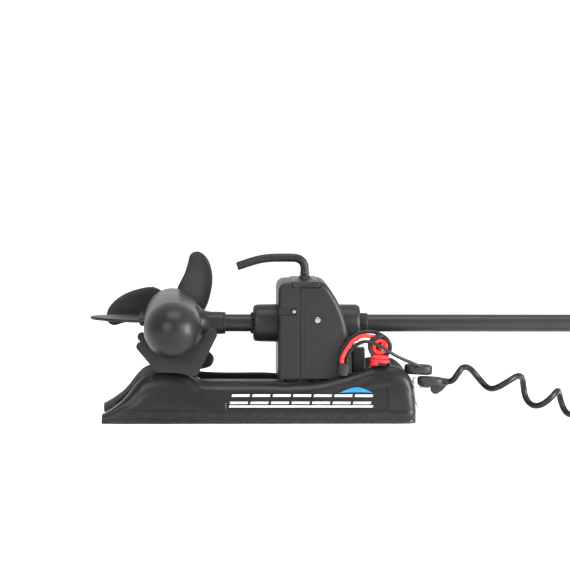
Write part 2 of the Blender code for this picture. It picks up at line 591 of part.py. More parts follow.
lathe("prop_nut", (MOTOR_X, SHAFT_Z), "Y", [(190 + GAP, 6.0), (197, 6.0), (197, 10.2), (196, 11.0), (190 + GAP, 11.0)], steps=6,
      color=(0.65, 0.6, 0.4), rough=0.35, metal=0.9)

# ---------------------------------------------------------------- shaft and control head
lathe("shaft_tube", (0, SHAFT_Z), "X", [(-91.7, 11), (HEAD_X0 + 40, 11), (HEAD_X0 + 40, SHAFT_R), (-91.7, SHAFT_R)], steps=28,
      color=(0.055, 0.055, 0.058), rough=0.38)


def head_ring(x, hy, z0, z1, rr, n=5, dy=-5.0):
    pts = []
    for cy, cz, a0 in ((hy - rr, z1 - rr, 0), (-(hy - rr), z1 - rr, 90), (-(hy - rr), z0 + rr, 180), (hy - rr, z0 + rr, 270)):
        for k in range(n):
            t = math.radians(a0 + 90 * k / (n - 1))
            pts.append((x, dy + cy + rr * math.cos(t), cz + rr * math.sin(t)))
    return pts


def head_shell(name, stations, inner, **kw):
    ob = loft(name, [head_ring(*s) for s in stations], **kw)
    boolean(ob, loft("cut_" + name, [head_ring(*s) for s in inner], cutter=True))
    return ob


lower = head_shell("head_lower_shell", [(HEAD_X0, 62, 118, 184, 24), (HEAD_X0 + 3, 70, 112, 190, 27), (HEAD_X0 + 14, 82, 104, 198, 30), (HEAD_X0 + 40, 90, 97, 205, 32)],
                   [(HEAD_X0 + 5, 62, 118, 184, 24), (HEAD_X0 + 16, 78, 108, 194, 28), (HEAD_X0 + 50, 86.4, 100.6, 201.4, 30)],
                   color=PLASTIC, rough=0.45)
boolean(lower, cyl("cut_head_bore", (0, SHAFT_Z), "X", HEAD_X0 - 5, HEAD_X0 + 20, SHAFT_R + GAP, verts=28, cutter=True))
boolean(lower, cyl("cut_head_socket", (-60, SHAFT_Z - 8), "X", HEAD_X0 - 20, HEAD_X0 + 30, 7.0 + GAP, verts=18, cutter=True))
upper = head_shell("head_upper_shell", [(HEAD_X0 + 40 + GAP, 90, 97, 205, 32), (HEAD_X0 + 62, 88, 99, 203, 31), (HEAD_X0 + 74, 82, 104, 198, 28), (HEAD_X0 + 80, 72, 112, 190, 24)],
                   [(HEAD_X0 + 30, 86.4, 100.6, 201.4, 30), (HEAD_X0 + 62, 84, 103, 199, 28), (HEAD_X0 + 75, 74, 110, 192, 24)],
                   color=PLASTIC, rough=0.45)
boolean(upper, cyl("cut_button_hole", (35, SHAFT_Z), "X", HEAD_X0 + 60, HEAD_X0 + 90, 9.0, verts=24, cutter=True))
lathe("power_button", (35, SHAFT_Z), "X", [(HEAD_X0 + 69, 0), (HEAD_X0 + 69, 8.6), (HEAD_X0 + 81.6, 8.6), (HEAD_X0 + 82.6, 7.6), (HEAD_X0 + 83, 0)], steps=32,
      origin=HEAD_X0 + 76, color=(0.25, 0.02, 0.02), rough=0.45)
lathe("head_socket", (-60, SHAFT_Z - 8), "X", [(HEAD_X0 - 9, 4.5), (HEAD_X0 + 18, 4.5), (HEAD_X0 + 18, 7.0), (HEAD_X0 - 9, 7.0)], steps=28,
      color=(0.03, 0.03, 0.032), rough=0.45)
lathe("collar_knob", (168.7, SHAFT_Z), "Y", [(16.6, 0), (16.6, 2.4), (19.5, 2.4), (19.5, 5.4), (28, 5.7), (29.5, 4.6), (29.5, 0)], steps=16,
      origin=22, color=(0.03, 0.03, 0.032), rough=0.5)

# ---------------------------------------------------------------- cords
LEAD_Y = -66.0
gland = lathe("lead_gland", (133, LEAD_Y), "Z", [(74.6, 0), (74.6, 7.3), (78.6, 7.3), (78.6, 0)], steps=28,
              color=(0.03, 0.03, 0.032), rough=0.5)
sleeve = lathe("cut_sleeve", (133, LEAD_Y), "Z", [(77.6, 0), (77.6, 7.5), (84, 7.5), (93.8, 7.0), (93.8, 0)], steps=28, cutter=True)
sleeve.scale = (1.28, 1.0, 1.0)
boolean(gland, sleeve, "UNION")
boolean(near_cover, cyl("cut_gland_seat", (133, LEAD_Y), "Z", 74.3, 100, 7.7, verts=24, cutter=True))
RED = [(130.2, -69.5, 94.6), (130.2, -69.6, 100), (132.5, -69.6, 107), (137.8, -69.6, 116.7), (145.7, -69.6, 128), (156.1, -69.6, 135.2), (165, -69.6, 137.6),
       (173, -69.5, 137.0)]
BLACK = [(128.4, -62.6, 94.7), (127.8, -62.6, 100), (128.6, -62.6, 108.5), (134, -62.6, 119.6), (142.6, -62.6, 131.4), (153.6, -62.6, 139.4), (164, -62.6, 142.6),
         (172.4, -62.8, 143.4)]
wire("red_lead", smooth_points(RED, 20), 3.2, res=2, color=(0.75, 0.05, 0.05), rough=0.4)
wire("black_lead", smooth_points(BLACK, 20), 3.0, res=2, color=(0.02, 0.02, 0.022), rough=0.4)
hank = []
for k in range(22):
    t = k * math.tau / 22
    c, s = math.cos(t), math.sin(t)
    hank.append((190.5 + 20.0 * math.copysign(abs(c) ** 0.7, c), 116.0 + 24.4 * math.copysign(abs(s) ** 0.7, s)))
plate("lead_bundle", hank, -80.4, -55.5, r=4.0, color=(0.4, 0.04, 0.05), rough=0.45)
PEDAL = [(138.8, -66.2, 94.6), (138.6, -66.2, 101), (141.2, -66.8, 109), (146.2, -69.2, 117.0), (153.4, -73.6, 124.0), (161, -79, 128.8), (171, -83.4, 129.6),
         (181, -85.0, 126.6), (192, -85.2, 121.0), (204, -84.6, 113.6), (218, -80, 105.4), (232, -71, 98.4), (243, -63.8, 93.4), (250, -60.2, 90.2), (254.0, -58.8, 88.4)]
wire("pedal_cable", smooth_points(PEDAL, 34), 2.75, res=2, color=(0.02, 0.02, 0.022), rough=0.4)
COIL = [(301.0, -50, 66.6), (318, -50, 68.6), (340, -50, 69.2), (372, -50, 68), (405, -48, 57), (440, -44.5, 41), (478, -41, 29), (520, -38, 23.4), (580, -36, 22.6), (680, -36, 22.6),
        (780, -36, 22.6), (860, -36, 22.6)]
wire("coil_cable", smooth_points(COIL, 34), 22.1, res=3, color=(0.02, 0.02, 0.022), rough=0.4)
lathe("coil_plug", (-36, 22.6), "X", [(860.4, 0), (860.4, 8), (866, 10.5), (888, 10.5), (892, 7.5), (912, 7.5), (913, 6.5), (913, 0)], steps=28,
      color=(0.02, 0.02, 0.022), rough=0.45)

bpy.context.view_layer.update()
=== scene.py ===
import bpy
import bmesh
import math
from mathutils import Vector, Matrix


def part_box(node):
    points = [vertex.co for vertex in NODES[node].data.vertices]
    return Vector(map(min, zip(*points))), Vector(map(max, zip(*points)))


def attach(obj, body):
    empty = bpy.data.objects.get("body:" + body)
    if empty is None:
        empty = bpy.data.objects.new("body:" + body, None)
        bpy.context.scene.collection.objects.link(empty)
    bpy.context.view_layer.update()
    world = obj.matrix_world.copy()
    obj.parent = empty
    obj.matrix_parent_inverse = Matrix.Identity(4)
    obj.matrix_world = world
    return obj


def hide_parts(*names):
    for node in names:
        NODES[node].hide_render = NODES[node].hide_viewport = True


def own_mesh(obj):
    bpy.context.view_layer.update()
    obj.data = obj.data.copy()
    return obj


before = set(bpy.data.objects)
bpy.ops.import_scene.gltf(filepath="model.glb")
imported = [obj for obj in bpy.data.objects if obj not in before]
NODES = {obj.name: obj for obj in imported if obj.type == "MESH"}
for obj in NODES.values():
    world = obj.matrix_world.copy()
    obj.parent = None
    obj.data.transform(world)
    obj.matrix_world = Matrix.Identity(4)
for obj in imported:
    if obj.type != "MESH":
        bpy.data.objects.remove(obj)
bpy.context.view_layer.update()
MM = 0.001
SHAFT_Z = 151.0
MOTOR_X = -136.7

# ================================================================ materials
def new_mat(name):
    m = bpy.data.materials.new(name)
    m.use_nodes = True
    nt = m.node_tree
    return m, nt, nt.nodes["Principled BSDF"]


def tex_coord(nt, scale=(1, 1, 1)):
    tc = nt.nodes.new("ShaderNodeTexCoord")
    mp = nt.nodes.new("ShaderNodeMapping")
    mp.inputs["Scale"].default_value = scale
    nt.links.new(tc.outputs["Object"], mp.inputs["Vector"])
    return mp.outputs["Vector"]


def noise(nt, vec, scale, detail=3.0, rough=0.55):
    n = nt.nodes.new("ShaderNodeTexNoise")
    n.inputs["Scale"].default_value = scale
    n.inputs["Detail"].default_value = detail
    n.inputs["Roughness"].default_value = rough
    nt.links.new(vec, n.inputs["Vector"])
    return n.outputs["Fac"]


def ramp(nt, fac, stops):
    r = nt.nodes.new("ShaderNodeValToRGB")
    while len(r.color_ramp.elements) < len(stops):
        r.color_ramp.elements.new(0.5)
    for e, (p, c) in zip(r.color_ramp.elements, stops):
        e.position = p
        e.color = (*c, 1.0) if len(c) == 3 else c
    nt.links.new(fac, r.inputs["Fac"])
    return r.outputs["Color"]


def remap(nt, fac, lo, hi, a, b):
    r = nt.nodes.new("ShaderNodeMapRange")
    r.inputs["From Min"].default_value = lo
    r.inputs["From Max"].default_value = hi
    r.inputs["To Min"].default_value = a
    r.inputs["To Max"].default_value = b
    nt.links.new(fac, r.inputs["Value"])
    return r.outputs["Result"]


def bump(nt, height, strength, dist, chain=None):
    b = nt.nodes.new("ShaderNodeBump")
    b.inputs["Strength"].default_value = strength
    b.inputs["Distance"].default_value = dist
    nt.links.new(height, b.inputs["Height"])
    if chain is not None:
        nt.links.new(chain, b.inputs["Normal"])
    return b.outputs["Normal"]


def grainy(name, dark, light, rough=(0.38, 0.5), grain=1400, gstrength=0.05, gdist=0.00012, metal=0.0, stretch=(1, 1, 1),
           blotch=28, spec=0.24, coat=0.0, wear=None):
    """Moulded or painted surface: broad colour variation, fine grain, uneven roughness, worn edges."""
    m, nt, p = new_mat(name)
    v = tex_coord(nt, stretch)
    big = noise(nt, v, blotch, 4.0, 0.6)
    fine = noise(nt, v, grain, 2.0, 0.5)
    mid = noise(nt, v, grain * 0.16, 3.0, 0.6)
    col = ramp(nt, big, [(0.35, dark), (0.65, light)])
    if wear:
        geo = nt.nodes.new("ShaderNodeNewGeometry")
        edge = remap(nt, geo.outputs["Pointiness"], 0.515, 0.56, 0.0, 1.0)
        mul = nt.nodes.new("ShaderNodeMath")
        mul.operation = "MULTIPLY"
        nt.links.new(edge, mul.inputs[0])
        nt.links.new(remap(nt, mid, 0.42, 0.62, 0.0, wear[1]), mul.inputs[1])
        mix = nt.nodes.new("ShaderNodeMix")
        mix.data_type = "RGBA"
        nt.links.new(mul.outputs[0], mix.inputs["Factor"])
        nt.links.new(col, mix.inputs["A"])
        mix.inputs["B"].default_value = (*wear[0], 1)
        col = mix.outputs["Result"]
    nt.links.new(col, p.inputs["Base Color"])
    nt.links.new(remap(nt, mid, 0.3, 0.7, rough[0], rough[1]), p.inputs["Roughness"])
    p.inputs["Metallic"].default_value = metal
    p.inputs["Specular IOR Level"].default_value = spec
    if coat:
        p.inputs["Coat Weight"].default_value = coat
        p.inputs["Coat Roughness"].default_value = 0.25
    n1 = bump(nt, fine, gstrength, gdist)
    n2 = bump(nt, big, 0.02, 0.0006, n1)
    nt.links.new(n2, p.inputs["Normal"])
    return m


M = {}
W = ((0.05, 0.05, 0.052), 0.35)
M["moulded"] = grainy("moulded_black", (0.0095, 0.0095, 0.0100), (0.0125, 0.0125, 0.0131), (0.36, 0.41), wear=W)
M["cover"] = grainy("moulded_cover", (0.0075, 0.0075, 0.0079), (0.0100, 0.0100, 0.0105), (0.30, 0.35), wear=W)
M["housing"] = grainy("moulded_housing", (0.0105, 0.0105, 0.0110), (0.0125, 0.0125, 0.0131), (0.38, 0.42))
M["paint"] = grainy("satin_paint", (0.0105, 0.0105, 0.0110), (0.0130, 0.0130, 0.0136), (0.33, 0.37), grain=2200, gstrength=0.08, gdist=0.0001, wear=W)
M["shaft"] = grainy("shaft_composite", (0.0125, 0.0125, 0.013), (0.0170, 0.0170, 0.0177), (0.28, 0.36), grain=900, stretch=(0.12, 1, 1), blotch=14, gstrength=0.06)
M["prop"] = grainy("propeller_nylon", (0.0105, 0.0105, 0.011), (0.0150, 0.0150, 0.0157), (0.34, 0.42), grain=1100, gstrength=0.08, wear=W)
# Dark grey of the serrated ring, depth ring and skeg bolts; also painted shade on the sheet behind the housing slot.
M["dark"] = grainy("dark_parts_and_slot_shade", (0.006, 0.006, 0.0063), (0.009, 0.009, 0.0094), (0.46, 0.55))
M["soft"] = grainy("soft_grip", (0.009, 0.009, 0.0094), (0.013, 0.013, 0.0136), (0.36, 0.46), grain=700, gstrength=0.35, gdist=0.0003)
M["rod"] = grainy("coated_rod", (0.008, 0.008, 0.0084), (0.012, 0.012, 0.0125), (0.30, 0.40))
M["plate"] = grainy("handle_plate", (0.009, 0.009, 0.0094), (0.013, 0.013, 0.0136), (0.30, 0.38), wear=W)
M["rubber"] = grainy("rubber_black", (0.016, 0.016, 0.0166), (0.023, 0.023, 0.0238), (0.36, 0.44), grain=900, gstrength=0.12)
M["extrusion"] = grainy("black_anodised", (0.008, 0.008, 0.0085), (0.012, 0.012, 0.0126), (0.36, 0.46), metal=0.2, stretch=(0.05, 1, 1), grain=900)
M["arm"] = grainy("arm_powder_coat", (0.016, 0.016, 0.0166), (0.024, 0.024, 0.025), (0.38, 0.48), grain=600, gstrength=0.35, gdist=0.0003, wear=((0.20, 0.20, 0.205), 0.5))
M["steel"] = grainy("brushed_steel", (0.30, 0.30, 0.31), (0.40, 0.40, 0.41), (0.20, 0.32), grain=1600, gstrength=0.12, metal=1.0, stretch=(1, 0.15, 1))
M["alu"] = grainy("rear_aluminium", (0.60, 0.61, 0.62), (0.72, 0.73, 0.74), (0.30, 0.42), grain=1200, gstrength=0.15, metal=0.85, stretch=(1, 1, 0.2))
M["grey"] = grainy("grey_pad", (0.42, 0.43, 0.43), (0.55, 0.56, 0.56), (0.5, 0.6))
M["brass"] = grainy("plain_brass", (0.50, 0.38, 0.15), (0.64, 0.50, 0.22), (0.26, 0.38), metal=1.0)
M["acetal"] = grainy("acetal", (0.62, 0.60, 0.52), (0.72, 0.70, 0.62), (0.34, 0.44))
M["board"] = grainy("board_green", (0.016, 0.10, 0.04), (0.03, 0.16, 0.07), (0.30, 0.42), grain=300)
M["magnet"] = grainy("ferrite", (0.06, 0.06, 0.065), (0.10, 0.10, 0.105), (0.45, 0.6), metal=0.3)
M["button"] = grainy("button_red", (0.20, 0.015, 0.015), (0.30, 0.03, 0.03), (0.38, 0.48))
M["white"] = grainy("decal_white", (0.74, 0.74, 0.74), (0.82, 0.82, 0.82), (0.40, 0.5), gstrength=0.1)
M["blue"] = grainy("decal_blue", (0.012, 0.15, 0.36), (0.03, 0.24, 0.50), (0.34, 0.46), gstrength=0.1)
M["red_pvc"] = grainy("red_pvc", (0.60, 0.016, 0.020), (0.80, 0.045, 0.042), (0.26, 0.38), grain=500, gstrength=0.12, blotch=60)
M["black_pvc"] = grainy("black_pvc", (0.010, 0.010, 0.0105), (0.016, 0.016, 0.0168), (0.26, 0.40), grain=500, gstrength=0.12)
M["coil_pvc"] = grainy("coil_pvc", (0.006, 0.006, 0.0063), (0.009, 0.009, 0.0094), (0.24, 0.32), grain=400, gstrength=0.06, spec=0.22)

# armature: copper slots around a laminated core
m, nt, p = new_mat("armature_winding")
v = tex_coord(nt)
w = nt.nodes.new("ShaderNodeTexWave")
w.inputs["Scale"].default_value = 160
w.inputs["Distortion"].default_value = 1.5
nt.links.new(v, w.inputs["Vector"])
nt.links.new(ramp(nt, w.outputs["Fac"], [(0.3, (0.30, 0.10, 0.03)), (0.7, (0.62, 0.30, 0.14))]), p.inputs["Base Color"])
p.inputs["Metallic"].default_value = 0.8
p.inputs["Roughness"].default_value = 0.35
nt.links.new(bump(nt, w.outputs["Fac"], 0.5, 0.0005), p.inputs["Normal"])
M["winding"] = m


# ================================================================ mesh helpers (millimetres)
def finish_mesh(ob, mat, angle=35):
    """Modifiers applied, normals smooth up to an angle, one material."""
    bpy.context.view_layer.update()
    deps = bpy.context.evaluated_depsgraph_get()
    me = bpy.data.meshes.new_from_object(ob.evaluated_get(deps))
    bm = bmesh.new()
    bm.from_mesh(me)
    bmesh.ops.remove_doubles(bm, verts=bm.verts, dist=2e-6)
    bmesh.ops.recalc_face_normals(bm, faces=bm.faces)
    bm.to_mesh(me)
    bm.free()
    old = ob.data
    if ob.type == "MESH":
        ob.modifiers.clear()
        ob.data = me
        out = ob
    else:
        out = bpy.data.objects.new(ob.name, me)
        bpy.context.scene.collection.objects.link(out)
        out.matrix_world = ob.matrix_world
        name = ob.name
        bpy.data.objects.remove(ob, do_unlink=True)
        out.name = name
    for poly in me.polygons:
        poly.use_smooth = True
        poly.material_index = 0
    me.set_sharp_from_angle(angle=math.radians(angle))
    me.materials.clear()
    me.materials.append(mat)
    return out


def mesh_ob(name, verts, faces):
    me = bpy.data.meshes.new(name)
    me.from_pydata([tuple(c * MM for c in v) for v in verts], [], faces)
    bm = bmesh.new()
    bm.from_mesh(me)
    bmesh.ops.recalc_face_normals(bm, faces=bm.faces)
    bm.to_mesh(me)
    bm.free()
    ob = bpy.data.objects.new(name, me)
    bpy.context.scene.collection.objects.link(ob)
    return ob


def loft(name, rings, caps=True):
    n = len(rings[0])
    verts = [p for ring in rings for p in ring]
    faces = []
    for i in range(len(rings) - 1):
        for j in range(n):
            k = (j + 1) % n
            faces.append((i * n + j, i * n + k, (i + 1) * n + k, (i + 1) * n + j))
    if caps:
        faces.append(tuple(range(n - 1, -1, -1)))
        faces.append(tuple((len(rings) - 1) * n + j for j in range(n)))
    return mesh_ob(name, verts, faces)


ROT = {"X": (0, math.radians(90), 0), "Y": (math.radians(-90), 0, 0), "Z": (0, 0, 0)}


def lathe(name, centre, axis, profile, mat, steps=96, angle=35):
    pts = [(r, s) for s, r in profile]
    closed = min(q[0] for q in pts) > 1e-6
    area = sum(pts[i][0] * pts[(i + 1) % len(pts)][1] - pts[(i + 1) % len(pts)][0] * pts[i][1] for i in range(len(pts)))
    if area > 0:
        pts.reverse()
    if not closed:
        n = len(pts)
        for k in range(n):
            if pts[k][0] < 1e-6 and pts[(k - 1) % n][0] < 1e-6:
                pts = pts[k:] + pts[:k]
                break
    me = bpy.data.meshes.new(name)
    edges = [(i, i + 1) for i in range(len(pts) - 1)]
    if closed:
        edges.append((len(pts) - 1, 0))
    me.from_pydata([(r * MM, 0, s * MM) for r, s in pts], edges, [])
    ob = bpy.data.objects.new(name, me)
    bpy.context.scene.collection.objects.link(ob)
    ob.rotation_euler = ROT[axis]
    loc = list(centre)
    loc.insert("XYZ".index(axis), 0)
    ob.location = [c * MM for c in loc]
    s = ob.modifiers.new("screw", "SCREW")
    s.steps = steps
    s.render_steps = steps
    s.use_merge_vertices = True
    s.merge_threshold = 1e-5
    return finish_mesh(ob, mat, angle)


def round_profile(pts, r, n=4):
    """Rounds each corner of an open or closed list of (a, b) points by r (a number or a list)."""
    out = []
    N = len(pts)
    for i, q in enumerate(pts):
        rr = r[i] if isinstance(r, (list, tuple)) else r
        if rr <= 0:
            out.append(tuple(q))
            continue
        a, b, c = Vector(pts[(i - 1) % N]), Vector(q), Vector(pts[(i + 1) % N])
        u, v = (a - b), (c - b)
        lu, lv = u.length, v.length
        if lu < 1e-9 or lv < 1e-9:
            out.append(tuple(q))
            continue
        u, v = u / lu, v / lv
        cosang = max(-1, min(1, u.dot(v)))
        ang = math.acos(cosang)
        if ang > math.radians(176) or ang < math.radians(4):
            out.append(tuple(q))
            continue
        d = min(rr / math.tan(ang / 2), lu * 0.49, lv * 0.49)
        p0, p1 = b + u * d, b + v * d
        for k in range(n + 1):
            t = k / n
            w = (1 - t) ** 2 * p0 + 2 * t * (1 - t) * b + t * t * p1
            out.append((w.x, w.y))
    return out


def outline_ob(name, outline, y0, y1, holes=(), bev=0.0, seg=3):
    cu = bpy.data.curves.new(name, "CURVE")
    cu.dimensions = "2D"
    cu.fill_mode = "BOTH"
    cu.extrude = (y1 - y0) * 0.5 * MM
    loops = [outline]
    for hx, hz, hr in holes:
        loops.append([(hx + hr * math.cos(t * math.tau / 48), hz + hr * math.sin(t * math.tau / 48)) for t in range(48)])
    for loop in loops:
        sp = cu.splines.new("POLY")
        sp.points.add(len(loop) - 1)
        for q, (x, z) in zip(sp.points, loop):
            q.co = (x * MM, z * MM, 0, 1)
        sp.use_cyclic_u = True
    ob = bpy.data.objects.new(name, cu)
    bpy.context.scene.collection.objects.link(ob)
    ob.rotation_euler = (math.radians(90), 0, 0)
    ob.location = (0, (y0 + y1) * 0.5 * MM, 0)
    ob = finish_mesh(ob, M["moulded"])
    if bev:
        bevel(ob, bev, seg)
    return ob


def bevel(ob, w, seg=3, angle=40):
    b = ob.modifiers.new("bevel", "BEVEL")
    b.width = w * MM
    b.segments = seg
    b.limit_method = "ANGLE"
    b.angle_limit = math.radians(angle)
    b.miter_outer = "MITER_ARC"
    return ob


def boolean(ob, other, op="DIFFERENCE"):
    b = ob.modifiers.new("bool", "BOOLEAN")
    b.operation = op
    b.solver = "EXACT"
    b.object = other
    return ob


TOOLS = []


def tool(ob):
    TOOLS.append(ob)
    return ob


def box_ob(name, lo, hi, bev=0.0, seg=3):
    vs = [(x, y, z) for x in (lo[0], hi[0]) for y in (lo[1], hi[1]) for z in (lo[2], hi[2])]
    fs = [(0, 1, 3, 2), (4, 6, 7, 5), (0, 4, 5, 1), (2, 3, 7, 6), (0, 2, 6, 4), (1, 5, 7, 3)]
    ob = mesh_ob(name, vs, fs)
    if bev:
        bevel(ob, bev, seg)
    return ob


def cyl_ob(name, centre, axis, a0, a1, r, n=64):
    rings = []
    i = "XYZ".index(axis)
    for a in (a0, a1):
        ring = []
        for k in range(n):
            t = k * math.tau / n
            q = [centre[0] + r * math.cos(t), centre[1] + r * math.sin(t)]
            q.insert(i, a)
            ring.append(tuple(q))
        rings.append(ring)
    return loft(name, rings)


def catmull(pts, per=10):
    P = [Vector(q) for q in pts]
    P = [P[0] * 2 - P[1]] + P + [P[-1] * 2 - P[-2]]
    out = []
    for i in range(1, len(P) - 2):
        a, b, c, d = P[i - 1], P[i], P[i + 1], P[i + 2]
        for k in range(per):
            t = k / per
            out.append(0.5 * ((2 * b) + (c - a) * t + (2 * a - 5 * b + 4 * c - d) * t * t + (3 * b - a - 3 * c + d) * t ** 3))
    out.append(P[-2])
    return out


def even(pts, n):
    dense = catmull(pts, 20)
    acc = [0.0]
    for a, b in zip(dense, dense[1:]):
        acc.append(acc[-1] + (b - a).length)
    out, j = [], 0
    for k in range(n):
        s = acc[-1] * k / (n - 1)
        while j < len(acc) - 2 and acc[j + 1] < s:
            j += 1
        u = (s - acc[j]) / max(acc[j + 1] - acc[j], 1e-9)
        out.append(dense[j].lerp(dense[j + 1], min(max(u, 0), 1)))
    return out


def cord_curve(name, pts, r, mat, res=5):
    cu = bpy.data.curves.new(name, "CURVE")
    cu.dimensions = "3D"
    cu.bevel_depth = r * MM
    cu.bevel_resolution = res
    cu.use_fill_caps = True
    cu.resolution_u = 1
    sp = cu.splines.new("POLY")
    sp.points.add(len(pts) - 1)
    for q, w in zip(sp.points, pts):
        q.co = (w[0] * MM, w[1] * MM, w[2] * MM, 1)
    sp.use_smooth = True
    ob = bpy.data.objects.new(name, cu)
    bpy.context.scene.collection.objects.link(ob)
    cu.materials.append(mat)
    return ob


def interp(table, x):
    if x <= table[0][0]:
        return table[0][1]
    for (x0, z0), (x1, z1) in zip(table, table[1:]):
        if x <= x1:
            return z0 + (z1 - z0) * (x - x0) / (x1 - x0)
    return table[-1][1]


def sstep(a, b, x):
    t = max(0.0, min(1.0, (x - a) / (b - a)))
    return t * t * (3 - 2 * t)


# ================================================================ camera
CAM = dict(loc=(-139.24, -4087.5, 555.82), yaw=2.549, pitch=-4.805, roll=0.300, f=2570.2)
cam_data = bpy.data.cameras.new("camera")
cam_data.sensor_width = 36.0
cam_data.lens = CAM["f"] / 570.0 * 36.0
cam_data.clip_end = 100
cam = bpy.data.objects.new("camera", cam_data)
bpy.context.scene.collection.objects.link(cam)
ya, pi_, ro = (math.radians(CAM[k]) for k in ("yaw", "pitch", "roll"))
fwd = Vector((math.sin(ya) * math.cos(pi_), math.cos(ya) * math.cos(pi_), math.sin(pi_)))
right = fwd.cross(Vector((0, 0, 1))).normalized()
up = right.cross(fwd)
R = math.cos(ro) * right + math.sin(ro) * up
U = math.cos(ro) * up - math.sin(ro) * right
cam.matrix_world = Matrix(((R.x, U.x, -fwd.x, CAM["loc"][0] * MM), (R.y, U.y, -fwd.y, CAM["loc"][1] * MM),
                           (R.z, U.z, -fwd.z, CAM["loc"][2] * MM), (0, 0, 0, 1)))
bpy.context.scene.camera = cam

# ================================================================ cords
RC = (189.7, 120.6)          # middle of the wound ring


def ring_pt(deg, r, y):
    t = math.radians(deg)
    return (RC[0] + r * math.cos(t), y, RC[1] + r * math.sin(t))


def foot_pt(deg, r, z):
    t = math.radians(deg)
    return (190.0 + r * math.cos(t), -68.4 + r * math.sin(t), z)


RED = [(130.2, -69.5, 94.6), (130.2, -69.6, 100), (132.5, -69.6, 107), (137.8, -69.6, 116.7), (145.7, -69.6, 128), (156.1, -69.6, 135.2), (165, -69.6, 137.6),
       (173, -69.5, 137.0)]
BLACK = [(128.4, -62.6, 94.7), (127.8, -62.6, 100), (128.6, -62.6, 108.5), (134, -62.6, 119.6), (142.6, -62.6, 131.4), (153.6, -62.6, 139.4), (164, -62.6, 142.6),
         (172.4, -62.8, 143.4)]
red_keys = list(RED) + [(181, -69.2, 135.8)]
for k in range(0, 12):                                # behind, just inside the black turns
    red_keys.append(ring_pt(80 - 30 * k, 13.0, -68.6))
for k in range(0, 13):                                # in front, further in
    u = sstep(-3, 3, k)
    red_keys.append(ring_pt(80 - 30 * k, 13.0 - 3.2 * u, -68.6 - 6.0 * sstep(-1, 3, k) + 3.0 * sstep(9, 13, k)))
red_keys += [(196.6, -71.6, 127.0), (192.6, -70.4, 121.4), (190.0, -67.4, 115.4), (187.2, -62.4, 110.4)]
for k in range(0, 29):
    red_keys.append(foot_pt(118 + 30 * k, 11.9, 107.0 - 12.2 * sstep(-0.1, 1, k / 28)))
red_keys += [(180.4, -52.6, 92.8), (178.4, -50.2, 87.6), (178.0, -49.6, 81), (178.0, -49.4, 74), (178.0, -49.4, 67)]
red_path = even(red_keys, 380)
black_keys = list(BLACK) + [(180.5, -65.2, 143.0), (188.0, -70.4, 141.2), (195.2, -74.0, 137.2)]
for k in range(0, 11):
    black_keys.append(ring_pt(45 - 30 * k, 16.4, -75.0))
for k in range(1, 13):
    u = sstep(0, 4, k)
    black_keys.append(ring_pt(-255 - 30 * k, 16.4 - 0.6 * u, -75.0 + 13.2 * u))
black_keys += [(197.4, -61.2, 132.0), (190.6, -62.4, 127.0), (186.2, -63.0, 120.0), (183.6, -62.4, 113.0)]
for k in range(0, 27):
    black_keys.append(foot_pt(150 + 30 * k, 10.2, 104.0 - 8.0 * (k / 26)))
black_keys += [(203.0, -56.8, 94.6), (205.2, -52.2, 90.6), (205.6, -50.2, 84), (205.6, -49.8, 76), (205.6, -49.8, 68)]
black_path = even(black_keys, 380)
red = cord_curve("red_power_lead", red_path, 3.2, M["red_pvc"])
black = cord_curve("black_power_lead", black_path, 3.0, M["black_pvc"])

PEDAL = [(138.8, -66.2, 94.6), (138.6, -66.2, 101), (141.2, -66.8, 109), (146.2, -69.2, 117.0), (153.4, -73.6, 124.0), (161, -79, 128.8), (171, -83.4, 129.6),
         (181, -85.0, 126.6), (192, -85.2, 121.0), (204, -84.6, 113.6), (218, -80, 105.4), (232, -71, 98.4), (243, -63.8, 93.4), (250, -60.2, 90.2), (254.0, -58.8, 88.4)]
pedal_path = even(PEDAL, 120)
pedal = cord_curve("pedal_lead", pedal_path, 2.75, M["black_pvc"])

# curly cable: a helix whose turns close up where it lies on the floor
AXIS = even([(301.0, -50, 62.6), (309, -50, 65.4), (318, -50, 67.6), (340, -50, 69.2), (372, -50, 68), (405, -48, 57), (440, -44.5, 41), (478, -41, 29), (520, -38, 23.4), (580, -36, 22.6),
             (680, -36, 22.6), (780, -36, 22.6), (860, -36, 22.6)], 400)
HEL_R, CORD_R = 16.9, 5.15
acc = [0.0]
for a, b in zip(AXIS, AXIS[1:]):
    acc.append(acc[-1] + (b - a).length)
TOTAL = acc[-1]
coil_path = []
phase = math.radians(203)
s, j = 0.0, 0
ds = 0.35
prev_side = Vector((0, 1, 0))
while s <= TOTAL:
    while j < len(acc) - 2 and acc[j + 1] < s:
        j += 1
    u = (s - acc[j]) / (acc[j + 1] - acc[j])
    c = AXIS[j].lerp(AXIS[j + 1], u)
    tan = (AXIS[min(j + 1, len(AXIS) - 1)] - AXIS[max(j - 1, 0)]).normalized()
    side = Vector((0, 1, 0)) - tan * tan.y
    side.normalize()
    upv = side.cross(tan) * -1.0
    pitch = 85.0 - 62.0 * sstep(60, 330, s)
    grow = HEL_R * sstep(-2, 24, s) * sstep(-2, 24, TOTAL - s)
    coil_path.append(c + (math.cos(phase) * side + math.sin(phase) * upv) * grow)
    step = ds * (1.0 if pitch > 40 else 0.6)
    phase -= math.tau * step / pitch
    s += step
keep = [coil_path[0]]
for q in coil_path[1:-1]:
    if (q - keep[-1]).length > 2.6:
        keep.append(q)
keep[-1] = coil_path[-1]
coil_path = even([tuple(q) for q in keep], 760)
coil = cord_curve("curly_cable", coil_path, CORD_R, M["coil_pvc"], res=5)

TABLE = {}


def ride(ob, body, slot=None, *nodes):
    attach(ob, body)
    if nodes:
        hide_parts(*nodes)
    return ob


